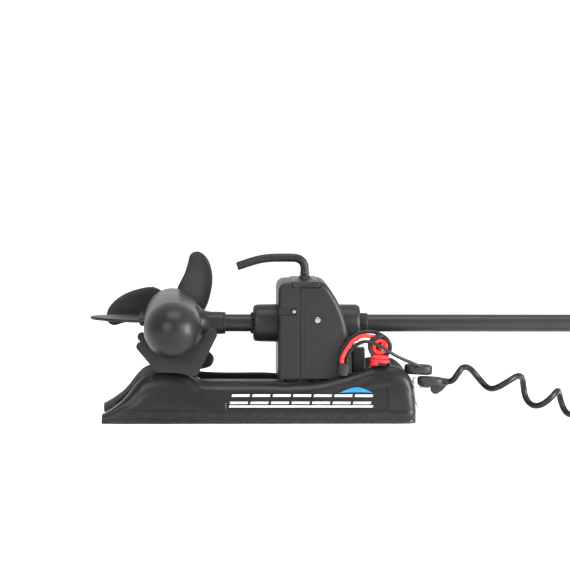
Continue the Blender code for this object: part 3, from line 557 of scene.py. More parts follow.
def terminal(name, end, direction, mat):
    """Crimped ring terminal at a lead's end."""
    d = Vector(direction).normalized()
    sidev = Vector((0, 0, 1))
    rings = []
    for s_, w_, h_ in ((0, 3.3, 3.3), (5.5, 3.3, 3.3), (7.5, 3.4, 1.0), (9.5, 5.0, 0.9), (12.0, 6.2, 0.9), (15, 6.4, 0.9), (18.0, 5.0, 0.9), (19.6, 2.2, 0.9)):
        ring = []
        sx = d.cross(sidev).normalized()
        for k in range(20):
            t = k * math.tau / 20
            q = Vector(end) + d * s_ + sx * (w_ * math.cos(t)) + sidev * (h_ * math.sin(t))
            ring.append((q.x, q.y, q.z))
        rings.append(ring)
    ob = loft(name, rings)
    return finish_mesh(ob, mat, 40)


ride(red, "base", "red_cord", "red_lead", "lead_bundle")
ride(black, "base", "black_cord", "black_lead")
ride(pedal, "base", "black_cord", "pedal_cable")
ride(coil, "base", "black_cord", "coil_cable")
for nm, path, mk in (("red_ring_terminal", red_path, "red_pvc"), ("black_ring_terminal", black_path, "black_pvc")):
    e = path[-1]
    boot = lathe(nm + "_boot", (e.x, e.y), "Z", [(e.z + 6, 3.3), (e.z + 6, 4.0), (e.z - 7, 3.7), (e.z - 8, 3.2), (e.z - 8, 0), (e.z - 0.2, 0), (e.z - 0.2, 3.3)], M[mk], 32)
    ride(boot, "base", "rubber_black")
    tab = outline_ob(nm, [(e.x - 2.2, e.z - 6), (e.x - 2.2, e.z - 11)] + [(e.x + 5.2 * math.cos(math.radians(a)), e.z - 15.5 + 5.2 * math.sin(math.radians(a))) for a in range(120, 421, 20)] +
                     [(e.x + 2.2, e.z - 11), (e.x + 2.2, e.z - 6)], e.y - 0.5, e.y + 0.5, holes=[(e.x, e.z - 15.5, 2.9)])
    tab.data.materials.clear()
    tab.data.materials.append(M["steel"])
    ride(tab, "base", "steel")

PX = 860.3
plug = lathe("curly_cable_plug", (-36, 22.6), "X", [(PX - 6, 0), (PX - 6, 5.4), (PX - 1, 6.6), (PX + 1, 8.6), (PX + 6, 10.6)] +
             [(PX + 6 + k * 2.6 + o, 10.6 - h) for k in range(8) for o, h in ((0.2, 0), (1.6, 0), (1.8, 0.7), (2.4, 0.7))] +
             [(PX + 28, 10.6), (PX + 32, 8.0), (PX + 34, 7.4), (PX + 50, 7.4), (PX + 51.5, 6.9), (PX + 52, 6.2), (PX + 52, 5.2), (PX + 40, 5.2), (PX + 40, 0)],
             M["rubber"], 72)
ride(plug, "base", "rubber_black", "coil_plug")

# ================================================================ side covers
CREST = [(-247.5, 13), (-243, 15.2), (-238, 18.2), (-233, 21), (-224, 27.6), (-216, 34), (-207, 44.2), (-203, 49.6), (-197, 57.8), (-190, 66), (-184, 71.6),
         (-177, 75.4), (-169, 77.8), (-161, 78.9), (-150, 79.3), (-139, 79.0), (-128, 78.2), (-117, 76.4), (-108, 73.2), (-100, 69.4), (-94, 67.0),
         (-88, 65.9), (-76, 65.2), (-60, 64.6), (-42, 64.4), (-20, 64.5), (0, 64.6), (16, 64.4), (30, 63.6), (47, 62), (64, 61), (80, 61.8), (96, 64), (112, 67.6),
         (127, 72), (139, 75.2), (150, 78.5), (160, 82), (168, 85), (178, 88.2), (189, 90), (199, 90.5), (208, 90), (215, 88.9), (221, 87), (227, 83.8),
         (232, 79.5), (236, 75.4), (239, 71.0), (242, 65.8), (244.6, 59.6), (246.4, 52), (247.3, 44)]


def crest_stations(step=2.4):
    P = [Vector((a, b, 0)) for a, b in CREST]
    line = [(q.x, q.y) for q in even([(p.x, p.y, 0) for p in P], int(640 / step))]
    for x in (-54.2, -53.4, -52.6, -51.8, 201.2, 201.6, 202.0, 202.25, 202.4, 203.0, 203.9, 204.1):
        line.append((x, interp(line, x)))
    line.sort()
    return [line[0]] + [b_ for a_, b_ in zip(line, line[1:]) if b_[0] - a_[0] > 0.02]


def cover_ring(x, top, s, nside=16):
    """One cross-section, outer face first, from the foot up over the shoulder and down the inner face."""
    lip = sstep(-112, -84, x) * (1 - sstep(34, 62, x))          # raised rim between the rest and the housing
    endl = sstep(-247.5, -226, x)
    endr = 1 - sstep(228, 247.5, x)
    skirt = min(20.5, top * 0.6)
    q = max(0.0, min(1.0, (x - 229.0) / 18.5))
    tuck = 15.0 * (1 - math.sqrt(max(0.0, 1 - q ** 2.4))) + 2.2 * (1 - endl)
    o = 87.5 - tuck
    sh = min(27.0, (top - skirt) * 0.66)                         # height of the shoulder
    sw = 19.5 * sstep(0, 30, top - skirt)
    sz = top - sh - 3.0 * lip
    pts = [(60.2, 0.0), (o - 1.2, 0.0), (o, 1.2), (o, min(5.0, top * 0.3)), (o - 0.5, min(5.6, top * 0.34)), (o - 0.5, min(6.2, top * 0.38)),
           (o - 0.05, min(6.8, top * 0.42)), (o - 0.1, skirt - 1.6), (o - 0.5, skirt - 0.5), (o - 1.7, skirt + 0.2)]
    base_o = o - 1.9
    panel = sstep(-54, -52, x) * (1 - sstep(201.4, 202.2, x))
    frame_v = 1.0 if 202.3 < x < 204.0 else 0.0
    for t in (0, 0.02, 0.035, 0.05, 0.07, 0.14, 0.24, 0.34, 0.44, 0.54, 0.64, 0.74, 0.82, 0.88, 0.94, 0.97, 1.0):
        z = skirt + 1.2 + (sz - skirt - 1.2) * t
        y = base_o - 2.6 * t * t - 1.0 * panel * (1 - sstep(0.84, 1.0, t)) * sstep(0.03, 0.055, t) + 0.5 * frame_v * (1 - sstep(0.84, 1.0, t))
        pts.append((y, z))
    y0, z0 = base_o - 2.6, sz
    for k in range(1, 11):
        t = k / 10 * math.pi / 2
        yy = y0 - sw * (1 - math.cos(t))
        zz = z0 + (top - 3.4 * lip - z0) * math.sin(t)
        pts.append((yy, zz))
    yt = y0 - sw
    lipy = max(61.8, min(67.0, yt - 0.8))
    yt2 = min(yt, 67.6)
    if lip > 0.02 or True:
        pts.append((lipy + 0.9, top - 3.3 * lip - 0.02))
        pts.append((lipy + 0.25, top - 2.4 * lip - 0.03))
        pts.append((lipy, top - 1.0 * lip - 0.04))
        pts.append((lipy - 0.7, top - 0.2 * lip - 0.05))
        pts.append((lipy - 1.6, top - 0.05))
    pts.append((61.4, top - 0.1))
    pts.append((60.6, top - 0.5))
    pts.append((60.2, top - 1.4))
    return [(x, s * a, b) for a, b in pts]


def cover_y(x, z, s):
    """Where the outer face is at x, z."""
    top = interp(CREST, x)
    ring = cover_ring(x, top, s)
    best = None
    for (xa, ya_, za), (xb, yb, zb) in zip(ring[2:], ring[3:]):
        if (za - z) * (zb - z) <= 0 and abs(zb - za) > 1e-6:
            u_ = (z - za) / (zb - za)
            return ya_ + (yb - ya_) * u_
    return s * 86.0


for nm, s in (("near_side_cover", -1), ("far_side_cover", 1)):
    rings = [cover_ring(x, z, s) for x, z in crest_stations()]
    ob = loft(nm + "_shell", rings)
    cav = []
    for x, z in CREST:
        if x < -205 or x > 238:
            continue
        t = z - 4.0
        cav.append([(x, s * a, b) for a, b in ((63.6, -5), (83.0, -5), (83.0, 17), (80.6, 24), (78.0, max(24.5, t - 20)), (70.0, max(25.0, t - 5)), (63.6, max(25.2, t - 4)))])
    c = tool(loft("cut_" + nm, cav))
    boolean(ob, c)
    ob = finish_mesh(ob, M["cover"], 38)
    ride(ob, "base", "moulded_black", nm)


# generic stripe on the near cover in place of lettering
def decal(name, poly_fn, nx, nz, x0, x1, mat, lift=0.35):
    """A thin skin on the cover; poly_fn(u) gives the low and high z at u from 0 to 1."""
    verts, faces = [], []
    for i in range(nx + 1):
        u_ = i / nx
        zl, zh, shear = poly_fn(u_)
        for k in range(nz + 1):
            z = zl + (zh - zl) * k / nz
            x = x0 + (x1 - x0) * u_ + shear * (z - 26.0)
            verts.append((x, cover_y(x, z, -1) - lift, z))
    n1 = nz + 1
    for i in range(nx):
        for k in range(nz):
            a = i * n1 + k
            faces.append((a, a + n1, a + n1 + 1, a + 1))
    ob = mesh_ob(name, verts, faces)
    sol = ob.modifiers.new("thick", "SOLIDIFY")
    sol.thickness = 0.30 * MM
    sol.offset = 0
    return finish_mesh(ob, mat, 50)


stripes = []
for nm, x0, x1, z0, z1 in (("stripe_lower", -46, 176, 26.2, 28.6), ("stripe_upper", -46, 176, 42.6, 45.8), ("stripe_mid", -46, 176, 31.6, 34.4)):
    pass
deca = decal("decal_line_low", lambda u_: (26.2, 28.8, 0.25), 90, 2, -48, 178, M["white"])
ride(deca, "base", "moulded_black")
for i in range(7):
    xa = -48 + i * 32.3
    wbar = 27.6
    for part, (za, zb) in enumerate(((31.4, 34.8), (42.6, 46.0))):
        d_ = decal("decal_bar_%d_%d" % (i, part), lambda u_, za=za, zb=zb: (za, zb, 0.25), 12, 2, xa, xa + wbar, M["white"])
        ride(d_, "base", "moulded_black")
sw_ = decal("decal_accent", lambda u_: (49.0 + 1.0 * math.sin(math.pi * u_), 49.6 + 1.0 * math.sin(math.pi * u_) + 7.0 * math.sin(math.pi * u_) ** 1.2, 0.2), 40, 5, 122, 172, M["blue"])
ride(sw_, "base", "moulded_black")

# ================================================================ motor rests
rest = []
for k in range(17):
    t = math.radians(205 - k * 155 / 16)
    rest.append((-186.4 + 7.2 * math.cos(t), 120.9 + 7.2 * math.sin(t)))
for k in range(33):
    t = math.radians(213 + k * 95 / 32)
    rest.append((MOTOR_X + 46.0 * math.cos(t), SHAFT_Z + 46.0 * math.sin(t)))
for k in range(17):
    t = math.radians(142.8 - k * 168.3 / 16)
    rest.append((-75.6 + 8.8 * math.cos(t), 140.6 + 8.8 * math.sin(t)))
rest += [(-92.5, 86), (-97.6, 75.6), (-103, 75.0), (-108, 74.0), (-117, 77.3), (-128, 79.1), (-139, 79.9), (-150, 80.0), (-158, 79.9), (-163, 82)]
for nm, y0, y1 in (("near_motor_rest", -78.5, -68.5), ("far_motor_rest", 68.5, 78.5)):
    ob = outline_ob(nm + "_plate", rest, y0, y1, bev=1.6, seg=3)
    ob = finish_mesh(ob, M["moulded"], 40)
    ride(ob, "base", "moulded_black", nm)

# ================================================================ lower unit
arc = [(-108.3 - 56.1 * math.sin(math.radians(a)) ** 1.0, 45.0 * math.cos(math.radians(a)) ** 0.92) for a in range(0, 90, 3)] + [(-164.4, 0)]
nose = lathe("nose_dome", (MOTOR_X, SHAFT_Z), "Y", arc + [(-158, 0), (-150, 24), (-137, 36), (-118, 40.6), (-108.3, 41)], M["paint"], 128)
ride(nose, "housing", "moulded_black", "nose_cone")
tube = lathe("motor_case", (MOTOR_X, SHAFT_Z), "Y", round_profile([(-108, 41), (118, 41), (118, 45), (-108, 45)], [0, 0, 0.6, 0.6], 3), M["paint"], 128)
ride(tube, "housing", "painted_tube", "motor_tube")
bell = lathe("rear_bell", (MOTOR_X, SHAFT_Z), "Y", [(118.3, 40.6), (118.3, 44.6), (118.8, 45.0), (126, 44.8), (131, 43.8), (136, 41.4), (141, 37.2), (146, 31.2), (150, 26), (153, 23), (154, 21.8),
                                                   (154, 6.2), (124, 6.2), (124, 40.6)], M["paint"], 128)
ride(bell, "housing", "moulded_black", "end_bell")
b = 14.3
neck = lathe("neck", (0, SHAFT_Z), "X", [(MOTOR_X + 30, 0), (-92, 0), (-92, b), (-52, b), (-52, 16.4), (-52.5, 17.2), (-53.4, 17.6), (-55.2, 17.7), (-55.6, 17.2), (-56.4, 17.2), (-56.8, 18.0),
                                         (-76, 18.2), (-83, 19.4), (-88, 21.4), (-92, 24.4), (-95, 28), (MOTOR_X + 30, 28)], M["moulded"], 96)
cutc = tool(cyl_ob("cut_neck", (MOTOR_X, SHAFT_Z), "Y", -200, 200, 45.25, 128))
boolean(neck, cutc)
neck = finish_mesh(neck, M["moulded"], 38)
ride(neck, "housing", "moulded_black", "shaft_adapter")

SK = [(-176, 22), (-186, 22), (-200, 24.5), (-222, 33), (-246, 50), (-262, 66), (-268.6, 78), (-270.3, 89), (-267, 100), (-256, 108), (-232, 116), (-206, 126), (-186, 130), (-176, 130)]
sk_line = round_profile(SK, 8, 5)
rings = []
for zz, inset in ((-2.3, 1.0), (-1.7, 0.35), (-0.8, 0.0), (0.8, 0.0), (1.7, 0.35), (2.3, 1.0)):
    cxm, cym = -215, 80
    ring = []
    for (x, y) in sk_line:
        vx, vy = x - cxm, y - cym
        L = math.hypot(vx, vy)
        ring.append((x - vx / L * inset, y - vy / L * inset, SHAFT_Z + zz))
    rings.append(ring)
skeg = loft("skeg_blade", rings)
foot = tool(box_ob("cut_skeg_foot", (-190, 24, SHAFT_Z - 7), (-176, 128, SHAFT_Z + 7), 3.0, 3))
boolean(skeg, foot, "UNION")
boolean(skeg, tool(cyl_ob("cut_skeg_root", (MOTOR_X, SHAFT_Z), "Y", -200, 200, 45.25, 128)))
skeg = finish_mesh(skeg, M["moulded"], 38)
ride(skeg, "housing", "moulded_black", "skeg")
for i, y in enumerate((38, 76, 114)):
    for sgn in (-1, 1):
        bolt = lathe("skeg_bolt_%d_%d" % (i, sgn > 0), (-184.6, y), "Z", [(SHAFT_Z + sgn * 6.4, 0), (SHAFT_Z + sgn * 6.4, 3.1), (SHAFT_Z + sgn * 8.2, 3.0), (SHAFT_Z + sgn * 8.8, 2.2),
                                                                        (SHAFT_Z + sgn * 8.8, 1.4), (SHAFT_Z + sgn * 7.6, 1.4), (SHAFT_Z + sgn * 7.6, 0)], M["steel"] if False else M["dark"], 24)
        ride(bolt, "housing", "moulded_black")

# ================================================================ propeller
TRAIL = [(14, -34), (24, -22), (34, -12), (44, -2.5), (54.7, 6.5), (62, 17), (70, 26), (78.6, 33.4), (87.5, 40.4), (96, 47), (103.5, 53.4), (107.4, 57.6), (109.6, 61.4), (110.6, 64.6)]
LEAD = [(14, 80), (30, 79.6), (42.6, 78.4), (54.5, 75), (62, 73.4), (70.4, 72.6), (85.6, 72.6), (95, 73.2), (100.2, 73), (104.4, 71.8), (107.4, 70), (109.6, 67.8), (110.6, 66.0)]


def trail_at(r):
    return interp(TRAIL, r)


hub = lathe("propeller_wheel", (MOTOR_X, SHAFT_Z), "Y", [(154.8, 5.3), (190, 5.3), (190, 12.4), (189, 14.2), (186, 16.8), (180, 18.9), (172, 20.1), (162, 20.5), (155.6, 20.5), (154.8, 19.7)], M["prop"], 96)
for kb in range(3):
    rings = []
    rs = [15, 20, 26, 33, 40, 47, 54, 60, 66, 72, 78, 84, 89.5, 94.5, 99, 102.4, 105, 107, 108.6, 109.7, 110.4]
    for r in rs:
        ta, la = trail_at(r), interp(LEAD, r)
        tmax = 1.4 + 3.6 * (1 - r / 115)
        up_, dn = [], []
        nc = 17
        for j in range(nc):
            w_ = 0.5 - 0.5 * math.cos(math.pi * j / (nc - 1))
            deg = ta + (la - ta) * w_
            a_ = math.radians(deg + 120 * kb)
            h = tmax * (0.10 + 0.90 * (4 * w_ * (1 - w_)) ** 0.45)
            camber = 2.6 * math.sin(math.pi * w_) * (r / 110)
            y = 172 + (deg - 30) * 0.21 - camber + (deg - 30) * 0.05 * math.sin(math.radians(r))
            x, z = MOTOR_X + r * math.cos(a_), SHAFT_Z + r * math.sin(a_)
            up_.append((x, y + h / 2, z))
            dn.append((x, y - h / 2, z))
        rings.append(up_ + dn[::-1])
    blade = tool(loft("cut_blade_%d" % kb, rings))
    boolean(hub, blade, "UNION")
prop = finish_mesh(hub, M["prop"], 50)
ride(prop, "rotor", "moulded_black", "propeller")

# ================================================================ shaft, collars
sh = lathe("shaft", (0, SHAFT_Z), "X", [(-91.7, 11), (1125, 11), (1125, 14), (-91.7, 14)], M["shaft"], 96)
ride(sh, "housing", "shaft", "shaft_tube")
collar = lathe("front_collar", (0, SHAFT_Z), "X", [(-8, b), (29.7, b), (29.7, 30.3), (20, 30.25), (6, 29.95), (-2, 29.6), (-5, 29.0), (-7, 27.4), (-8, 25.2)], M["housing"], 128)
ride(collar, "housing", "moulded_black", "left_collar")
cap = lathe("rear_boss", (0, SHAFT_Z), "X", [(122.6, b), (162, b), (162, 26.2), (161.2, 27.4), (158.6, 29.2), (156, 29.9), (122.6, 30)], M["housing"], 128)
ride(cap, "housing", "moulded_black", "rear_bearing_cap")
dc = lathe("depth_ring", (0, SHAFT_Z), "X", [(162.4, b), (175, b), (175, 15.2), (174.4, 15.9), (173.4, 16.2), (169.6, 16.2), (169.2, 15.7), (168.4, 15.7), (168.0, 16.2), (164, 16.2), (162.9, 15.9), (162.4, 15.2)],
           M["dark"], 96)
ride(dc, "housing", "moulded_black", "depth_collar")


def toothed(name, x0, x1, teeth, r_out, r_root, bore, mat):
    ring_o, verts, faces = [], [], []
    pts = []
    for i in range(teeth):
        a_ = i * math.tau / teeth
        w_ = math.tau / teeth
        for f_, r in ((-0.34, r_root), (-0.24, r_out), (0.24, r_out), (0.34, r_root)):
            pts.append((a_ + f_ * w_, r))
    n = len(pts)
    for x in (x0, x1):
        for t, r in pts:
            verts.append((x, r * math.cos(t), SHAFT_Z + r * math.sin(t)))
    for x in (x0, x1):
        for t, r in pts:
            verts.append((x, bore * math.cos(t), SHAFT_Z + bore * math.sin(t)))
    for i in range(n):
        k = (i + 1) % n
        faces.append((i, k, n + k, n + i))
        faces.append((2 * n + i, 3 * n + i, 3 * n + k, 2 * n + k))
        faces.append((i, 2 * n + i, 2 * n + k, k))
        faces.append((n + i, n + k, 3 * n + k, 3 * n + i))
    ob = mesh_ob(name, verts, faces)
    bevel(ob, 0.25, 2, 50)
    return finish_mesh(ob, mat, 40)


ser = toothed("serrated_collar", -12, -8.3, 22, 17.2, 15.6, b, M["dark"])
ride(ser, "housing", "moulded_black", "serrated_ring")

# ================================================================ housing
HOUSE = [(30, 68), (30, 100), (30, 132), (30, 160), (30, 180), (30, 192), (30, 199), (30, 204), (30.6, 210), (33, 215.2), (37.5, 218.6), (43, 220), (50, 220.3), (59, 220.5), (70, 220.6), (92, 221), (98, 220.8), (103, 218.8), (107.5, 215), (112, 209.4), (117.5, 201), (122.6, 192.6), (127.4, 183.2),
         (131.4, 173.4), (134.8, 164), (137.4, 155), (139.2, 146), (140.6, 137), (142.8, 126), (144.9, 114), (146.4, 98), (147, 82), (147, 68)]
INNER = [(33.2, 50), (33.2, 205), (34.5, 211), (38.5, 215), (44, 216.8), (92, 217.4), (98, 216.2), (108, 206.5), (119, 191), (124, 182.0), (128, 172), (134.0, 155), (137, 137), (141.6, 115), (143.4, 97), (143.8, 79), (143.8, 50)]


def inset_outline(pts, d, floor):
    """Outline moved inwards by d; the open foot stays where it is."""
    n_ = len(pts)
    out = []
    for i, (x, z) in enumerate(pts):
        a_, c_ = Vector(pts[(i - 1) % n_]), Vector(pts[(i + 1) % n_])
        if i == 0:
            a_ = Vector((x, z - 5))
        if i == n_ - 1:
            c_ = Vector((x, z - 5))
        t_ = (c_ - a_).normalized()
        nx, nz = t_.y, -t_.x                      # inwards for a clockwise outline
        out.append((x + nx * d, max(floor, z + nz * d) if floor + 2 < z else z))
    return out


def half(name, half_y, front, edge):
    line = [(q.x, q.y) for q in even([(a, c, 0) for a, c in HOUSE], 110)]
    line[0], line[-1] = (30, 68), (147, 68)
    rings = []
    steps = 9
    ins = [(edge * (1 - math.sin(math.pi / 2 * k / steps)), edge * (1 - math.cos(math.pi / 2 * k / steps))) for k in range(steps + 1)]
    for d_, w_ in ins:
        rings.append([(x, -half_y + w_, z) for x, z in inset_outline(line, d_, 68)])
    for d_, w_ in reversed(ins):
        rings.append([(x, half_y - w_, z) for x, z in inset_outline(line, d_, 68)])
    ob = loft(name, rings)
    boolean(ob, tool(outline_ob("cut_in_" + name, INNER, -(half_y - 3.2), half_y - 3.2)))
    if front:
        boolean(ob, tool(box_ob("cut_h_" + name, (64.9, -80, 40), (220, 80, 240))))
    else:
        boolean(ob, tool(box_ob("cut_h_" + name, (0, -80, 40), (65.7, 80, 240))))
    boolean(ob, tool(box_ob("cut_r_" + name, (51.6, -80, 211.6), (95.4, 80, 240), 1.5, 3)))
    if front:
        boolean(ob, tool(cyl_ob("cut_b_" + name, (0, SHAFT_Z), "X", 20, 60, 16.0)))
        ob = finish_mesh(ob, M["housing"], 38)
        boolean(ob, tool(box_ob("cut_s_" + name, (24.3, -79, 168.3), (58.5, -half_y + 3.6, 180.7)))).modifiers[-1].solver = "MANIFOLD"
    else:
        boolean(ob, tool(cyl_ob("cut_b_" + name, (0, SHAFT_Z), "X", 118, 200, 30.4, 96)))
        for sy in (-1, 1):
            lo, hi = sorted((sy * (half_y - 0.6), sy * 80))
            boolean(ob, tool(box_ob("cut_l_%s_%d" % (name, sy), (60, lo, 40), (71.6, hi, 208), 0.4, 2)))
            lo, hi = sorted((sy * 52, sy * 80))
            boolean(ob, tool(cyl_ob("cut_p_%s_%d" % (name, sy), (92, 161), "Y", lo, hi, 3.7, 48)))
    return finish_mesh(ob, M["housing"], 38)


fc = half("front_shell", 57.2, True, 6.5)
ride(fc, "housing", "moulded_black", "front_cover")
rc = half("rear_shell", 58.0, False, 9.0)
ride(rc, "housing", "moulded_black", "rear_cover")


def cap_screw(name, x, z, y, r, mat, sgn=-1):
    """Socket-head screw facing -Y (sgn -1) or +Y."""
    prof = [(y - sgn * 6, 0), (y - sgn * 6, r * 0.62), (y - sgn * 0.2, r * 0.62), (y - sgn * 0.2, r), (y + sgn * 1.2, r), (y + sgn * 1.9, r * 0.86), (y + sgn * 2.0, r * 0.46), (y + sgn * 0.4, r * 0.42), (y + sgn * 0.4, 0)]
    return lathe(name, (x, z), "Y", prof, mat, 40)


sc = cap_screw("cover_bolt", 92, 161, -58.1, 4.75, M["steel"])
ride(sc, "housing", "steel", "cover_screw")
# Painted shade: a thin dark sheet closes the through-cut slot so that it reads as a deep, shaded recess.
sf = box_ob("slot_painted_shade_sheet", (31.2, -54.7, 168.5), (58.2, -54.4, 180.5))
sf = finish_mesh(sf, M["dark"], 40)
ride(sf, "housing", "moulded_black")
sc3 = cap_screw("slot_screw", 55.2, 174.6, -54.9, 3.2, M["steel"])
ride(sc3, "housing", "steel")

# handle plate
hp = box_ob("top_plate", (52, -58, 212), (95, 58, 222), 2.2, 4)
boolean(hp, tool(box_ob("cut_plate_front", (55, -70, 213.6), (92, -57.2, 219.6), 0.8, 2)))
nk = tool(lathe("cut_neck2", (74, 0), "Z", [(218, 0), (218, 12.5), (222, 12.3), (223.2, 10.6), (225, 9.0), (228, 8.0), (228, 0)], M["housing"], 64))
boolean(hp, nk, "UNION")
boolean(hp, tool(cyl_ob("cut_rodhole", (74, 0), "Z", 200, 240, 5.4, 48)))
hp = finish_mesh(hp, M["plate"], 40)
ride(hp, "housing", "moulded_black", "handle_plate")

# ================================================================ pull handle
rod_path = even([(74, 0, 187.3), (74, 0, 205), (74, 0, 228.6)], 20)
rod = cord_curve("lift_rod", rod_path, 5.0, M["rod"], res=8)
rod = finish_mesh(rod, M["rod"], 50)
ride(rod, "pull_handle", "handle_black", "handle_rod")
gp = even([(74, 0, 229.0), (74, 0, 235), (73.8, 0, 241), (72.2, 0, 246.6), (68.6, 0, 251.2), (63.2, 0, 254.3), (56.5, 0, 255.5), (40, 0, 255.7),
           (20, 0, 255.2), (5, 0, 253.4), (-10, 0, 249.6), (-34, 0, 241.6)], 130)
n = 40
rings = []
for i, q in enumerate(gp):
    tan = (gp[min(i + 1, len(gp) - 1)] - gp[max(i - 1, 0)]).normalized()
    nrm = Vector((0, 1, 0)).cross(tan).normalized()
    u_ = i / (len(gp) - 1)
    r = 6.7 + 0.9 * (1 - sstep(0, 0.05, u_)) - (0.5 if i == 0 else 0.0) - (1.1 if i == len(gp) - 1 else 0.4 if i == len(gp) - 2 else 0)
    if 0.42 < u_ < 0.955:
        r += 0.13 * (1 if (i // 2) % 2 else -1)
    rings.append([tuple(q + (Vector((0, 1, 0)) * math.cos(k * math.tau / n) + nrm * math.sin(k * math.tau / n)) * r) for k in range(n)])
grip = finish_mesh(loft("hand_grip", rings), M["soft"], 50)
ride(grip, "pull_handle", "handle_black", "pull_grip")

sp_pts = []
for k in range(5 * 28 + 1):
    t = k / 28 * math.tau
    sp_pts.append((74 + 7.6 * math.cos(t), 7.6 * math.sin(t), 188.4 + (210.8 - 188.4) * k / (5 * 28)))
spring = cord_curve("return_spring", sp_pts, 0.8, M["steel"], res=3)
spring = finish_mesh(spring, M["steel"], 50)
ride(spring, "housing", "steel", "latch_spring")
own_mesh(spring)

# ================================================================ rear plugs, block, bracket
blk = loft("stow_block", [[(149.6 + a, sy * 19.6, z) for a, sy in ((0.0 - 0.0, -1), (w_, -1), (w_, 1), (0.0, 1))] for z, w_ in ((8.4, 22.4), (60, 22.2), (113, 20.6))])
bevel(blk, 2.2, 4, 40)
blk = finish_mesh(blk, M["moulded"], 40)
ride(blk, "base", "moulded_black", "stop_block")
cp = box_ob("stow_pad", (151, -17.5, 113.3), (170, 17.5, 117.6), 1.6, 4)
cp = finish_mesh(cp, M["grey"], 40)
ride(cp, "base", "grey_pad", "stop_cap")


def slab(name, x0, x1, y, z, ry, rz, droop, mat, power=0.55, rib=0.0):
    rings = []
    nseg = 40
    for k in range(nseg + 1):
        u_ = k / nseg
        e = (1 - abs(2 * u_ - 1) ** 3.2) ** 0.5 * 0.96 + 0.04
        ez = (1 - abs(2 * u_ - 1) ** 6) ** 0.5 * 0.45 + 0.52 + 0.03 * e
        zc = z + droop * (u_ - 0.5)
        rr = 1.0 - rib * (1 if (k // 2) % 2 else 0)
        ring = []
        for j_ in range(48):
            t = j_ * math.tau / 48
            c_, s_ = math.cos(t), math.sin(t)
            ring.append((x0 + (x1 - x0) * u_, y + ry * e * rr * math.copysign(abs(c_) ** power, c_), zc + rz * ez * rr * math.copysign(abs(s_) ** power, s_)))
        rings.append(ring)
    return finish_mesh(loft(name, rings), mat, 50)


up_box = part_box("upper_socket")
lo_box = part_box("lower_plug_boot")
up_lo, up_hi = [c / MM for c in up_box[0]], [c / MM for c in up_box[1]]
lo_lo, lo_hi = [c / MM for c in lo_box[0]], [c / MM for c in lo_box[1]]
upl = slab("rear_socket", up_lo[0], up_hi[0], -43, 81.5, 14.5, 8.4, -2, M["rubber"])
ride(upl, "base", "rubber_black", "upper_socket")
lpl = slab("rear_plug", lo_lo[0], lo_hi[0] - 7, -50, 62.8, 14, 8.1, -2, M["rubber"])
keel = tool(outline_ob("cut_keel", [(272.8, 60), (272.4, 48), (276, 43.8), (282, 43.8), (291, 49.5), (297, 56), (297, 60)], -60.5, -39.5, bev=3.0, seg=4))
boolean(lpl, keel, "UNION")
lpl = finish_mesh(lpl, M["rubber"], 50)
ride(lpl, "base", "rubber_black", "lower_plug_boot")
bt = lathe("plug_sleeve", (-50, 62.2), "X", [(lo_hi[0] - 14, 0), (lo_hi[0] - 14, 7.4)] + [(lo_hi[0] - 12 + k * 2.4 + o, 7.2 - k * 0.25 - h) for k in range(5) for o, h in ((0, 0), (1.2, 0), (1.5, 0.8), (2.1, 0.8))] +
           [(lo_hi[0], 5.6), (lo_hi[0], 0)], M["rubber"], 48)
ride(bt, "base", "rubber_black")
sl = lathe("lead_sleeve", (133, -66), "Z", [(77.6, 0), (77.6, 7.3), (79, 7.5)] + [(80 + k * 2.4 + o, 7.5 - k * 0.1 - h) for k in range(5) for o, h in ((0, 0), (1.2, 0), (1.5, 0.5), (2.1, 0.5))] +
           [(92.4, 7.0), (93.6, 6.4), (93.8, 5.6), (93.8, 0)], M["rubber"], 64)
sl.scale = (1.28, 1.0, 1.0)
sl = finish_mesh(sl, M["rubber"], 40)
ride(sl, "base", "rubber_black", "lead_gland")
gn = lathe("lead_gland_nut", (133, -66), "Z", [(74.6, 0), (74.6, 7.3), (78.6, 7.3), (78.6, 0)], M["rubber"], 48)
ride(gn, "base", "rubber_black")


# ================================================================ control head
HX = 1085.0


def head_ring(x, hy, z0, z1, rr, n_=12, dy=-5.0):
    pts = []
    for cy, cz, a0 in ((hy - rr, z1 - rr, 0), (-(hy - rr), z1 - rr, 90), (-(hy - rr), z0 + rr, 180), (hy - rr, z0 + rr, 270)):
        for k in range(n_):
            t = math.radians(a0 + 90 * k / (n_ - 1))
            pts.append((x, dy + cy + rr * math.cos(t), cz + rr * math.sin(t)))
    return pts


def head_shell(name, stations, inner, mat):
    def dense(st):
        out = []
        keys = [(s_[0], s_[1], s_[2]) for s_ in st]
        for i in range(len(st) - 1):
            for k in range(6):
                t = k / 6
                a_, c_ = st[i], st[i + 1]
                out.append(tuple(a_[q] + (c_[q] - a_[q]) * t for q in range(5)))
        out.append(st[-1])
        return out
    ob = loft(name, [head_ring(*s_) for s_ in dense(stations)])
    boolean(ob, tool(loft("cut_" + name, [head_ring(*s_) for s_ in inner])))
    return ob


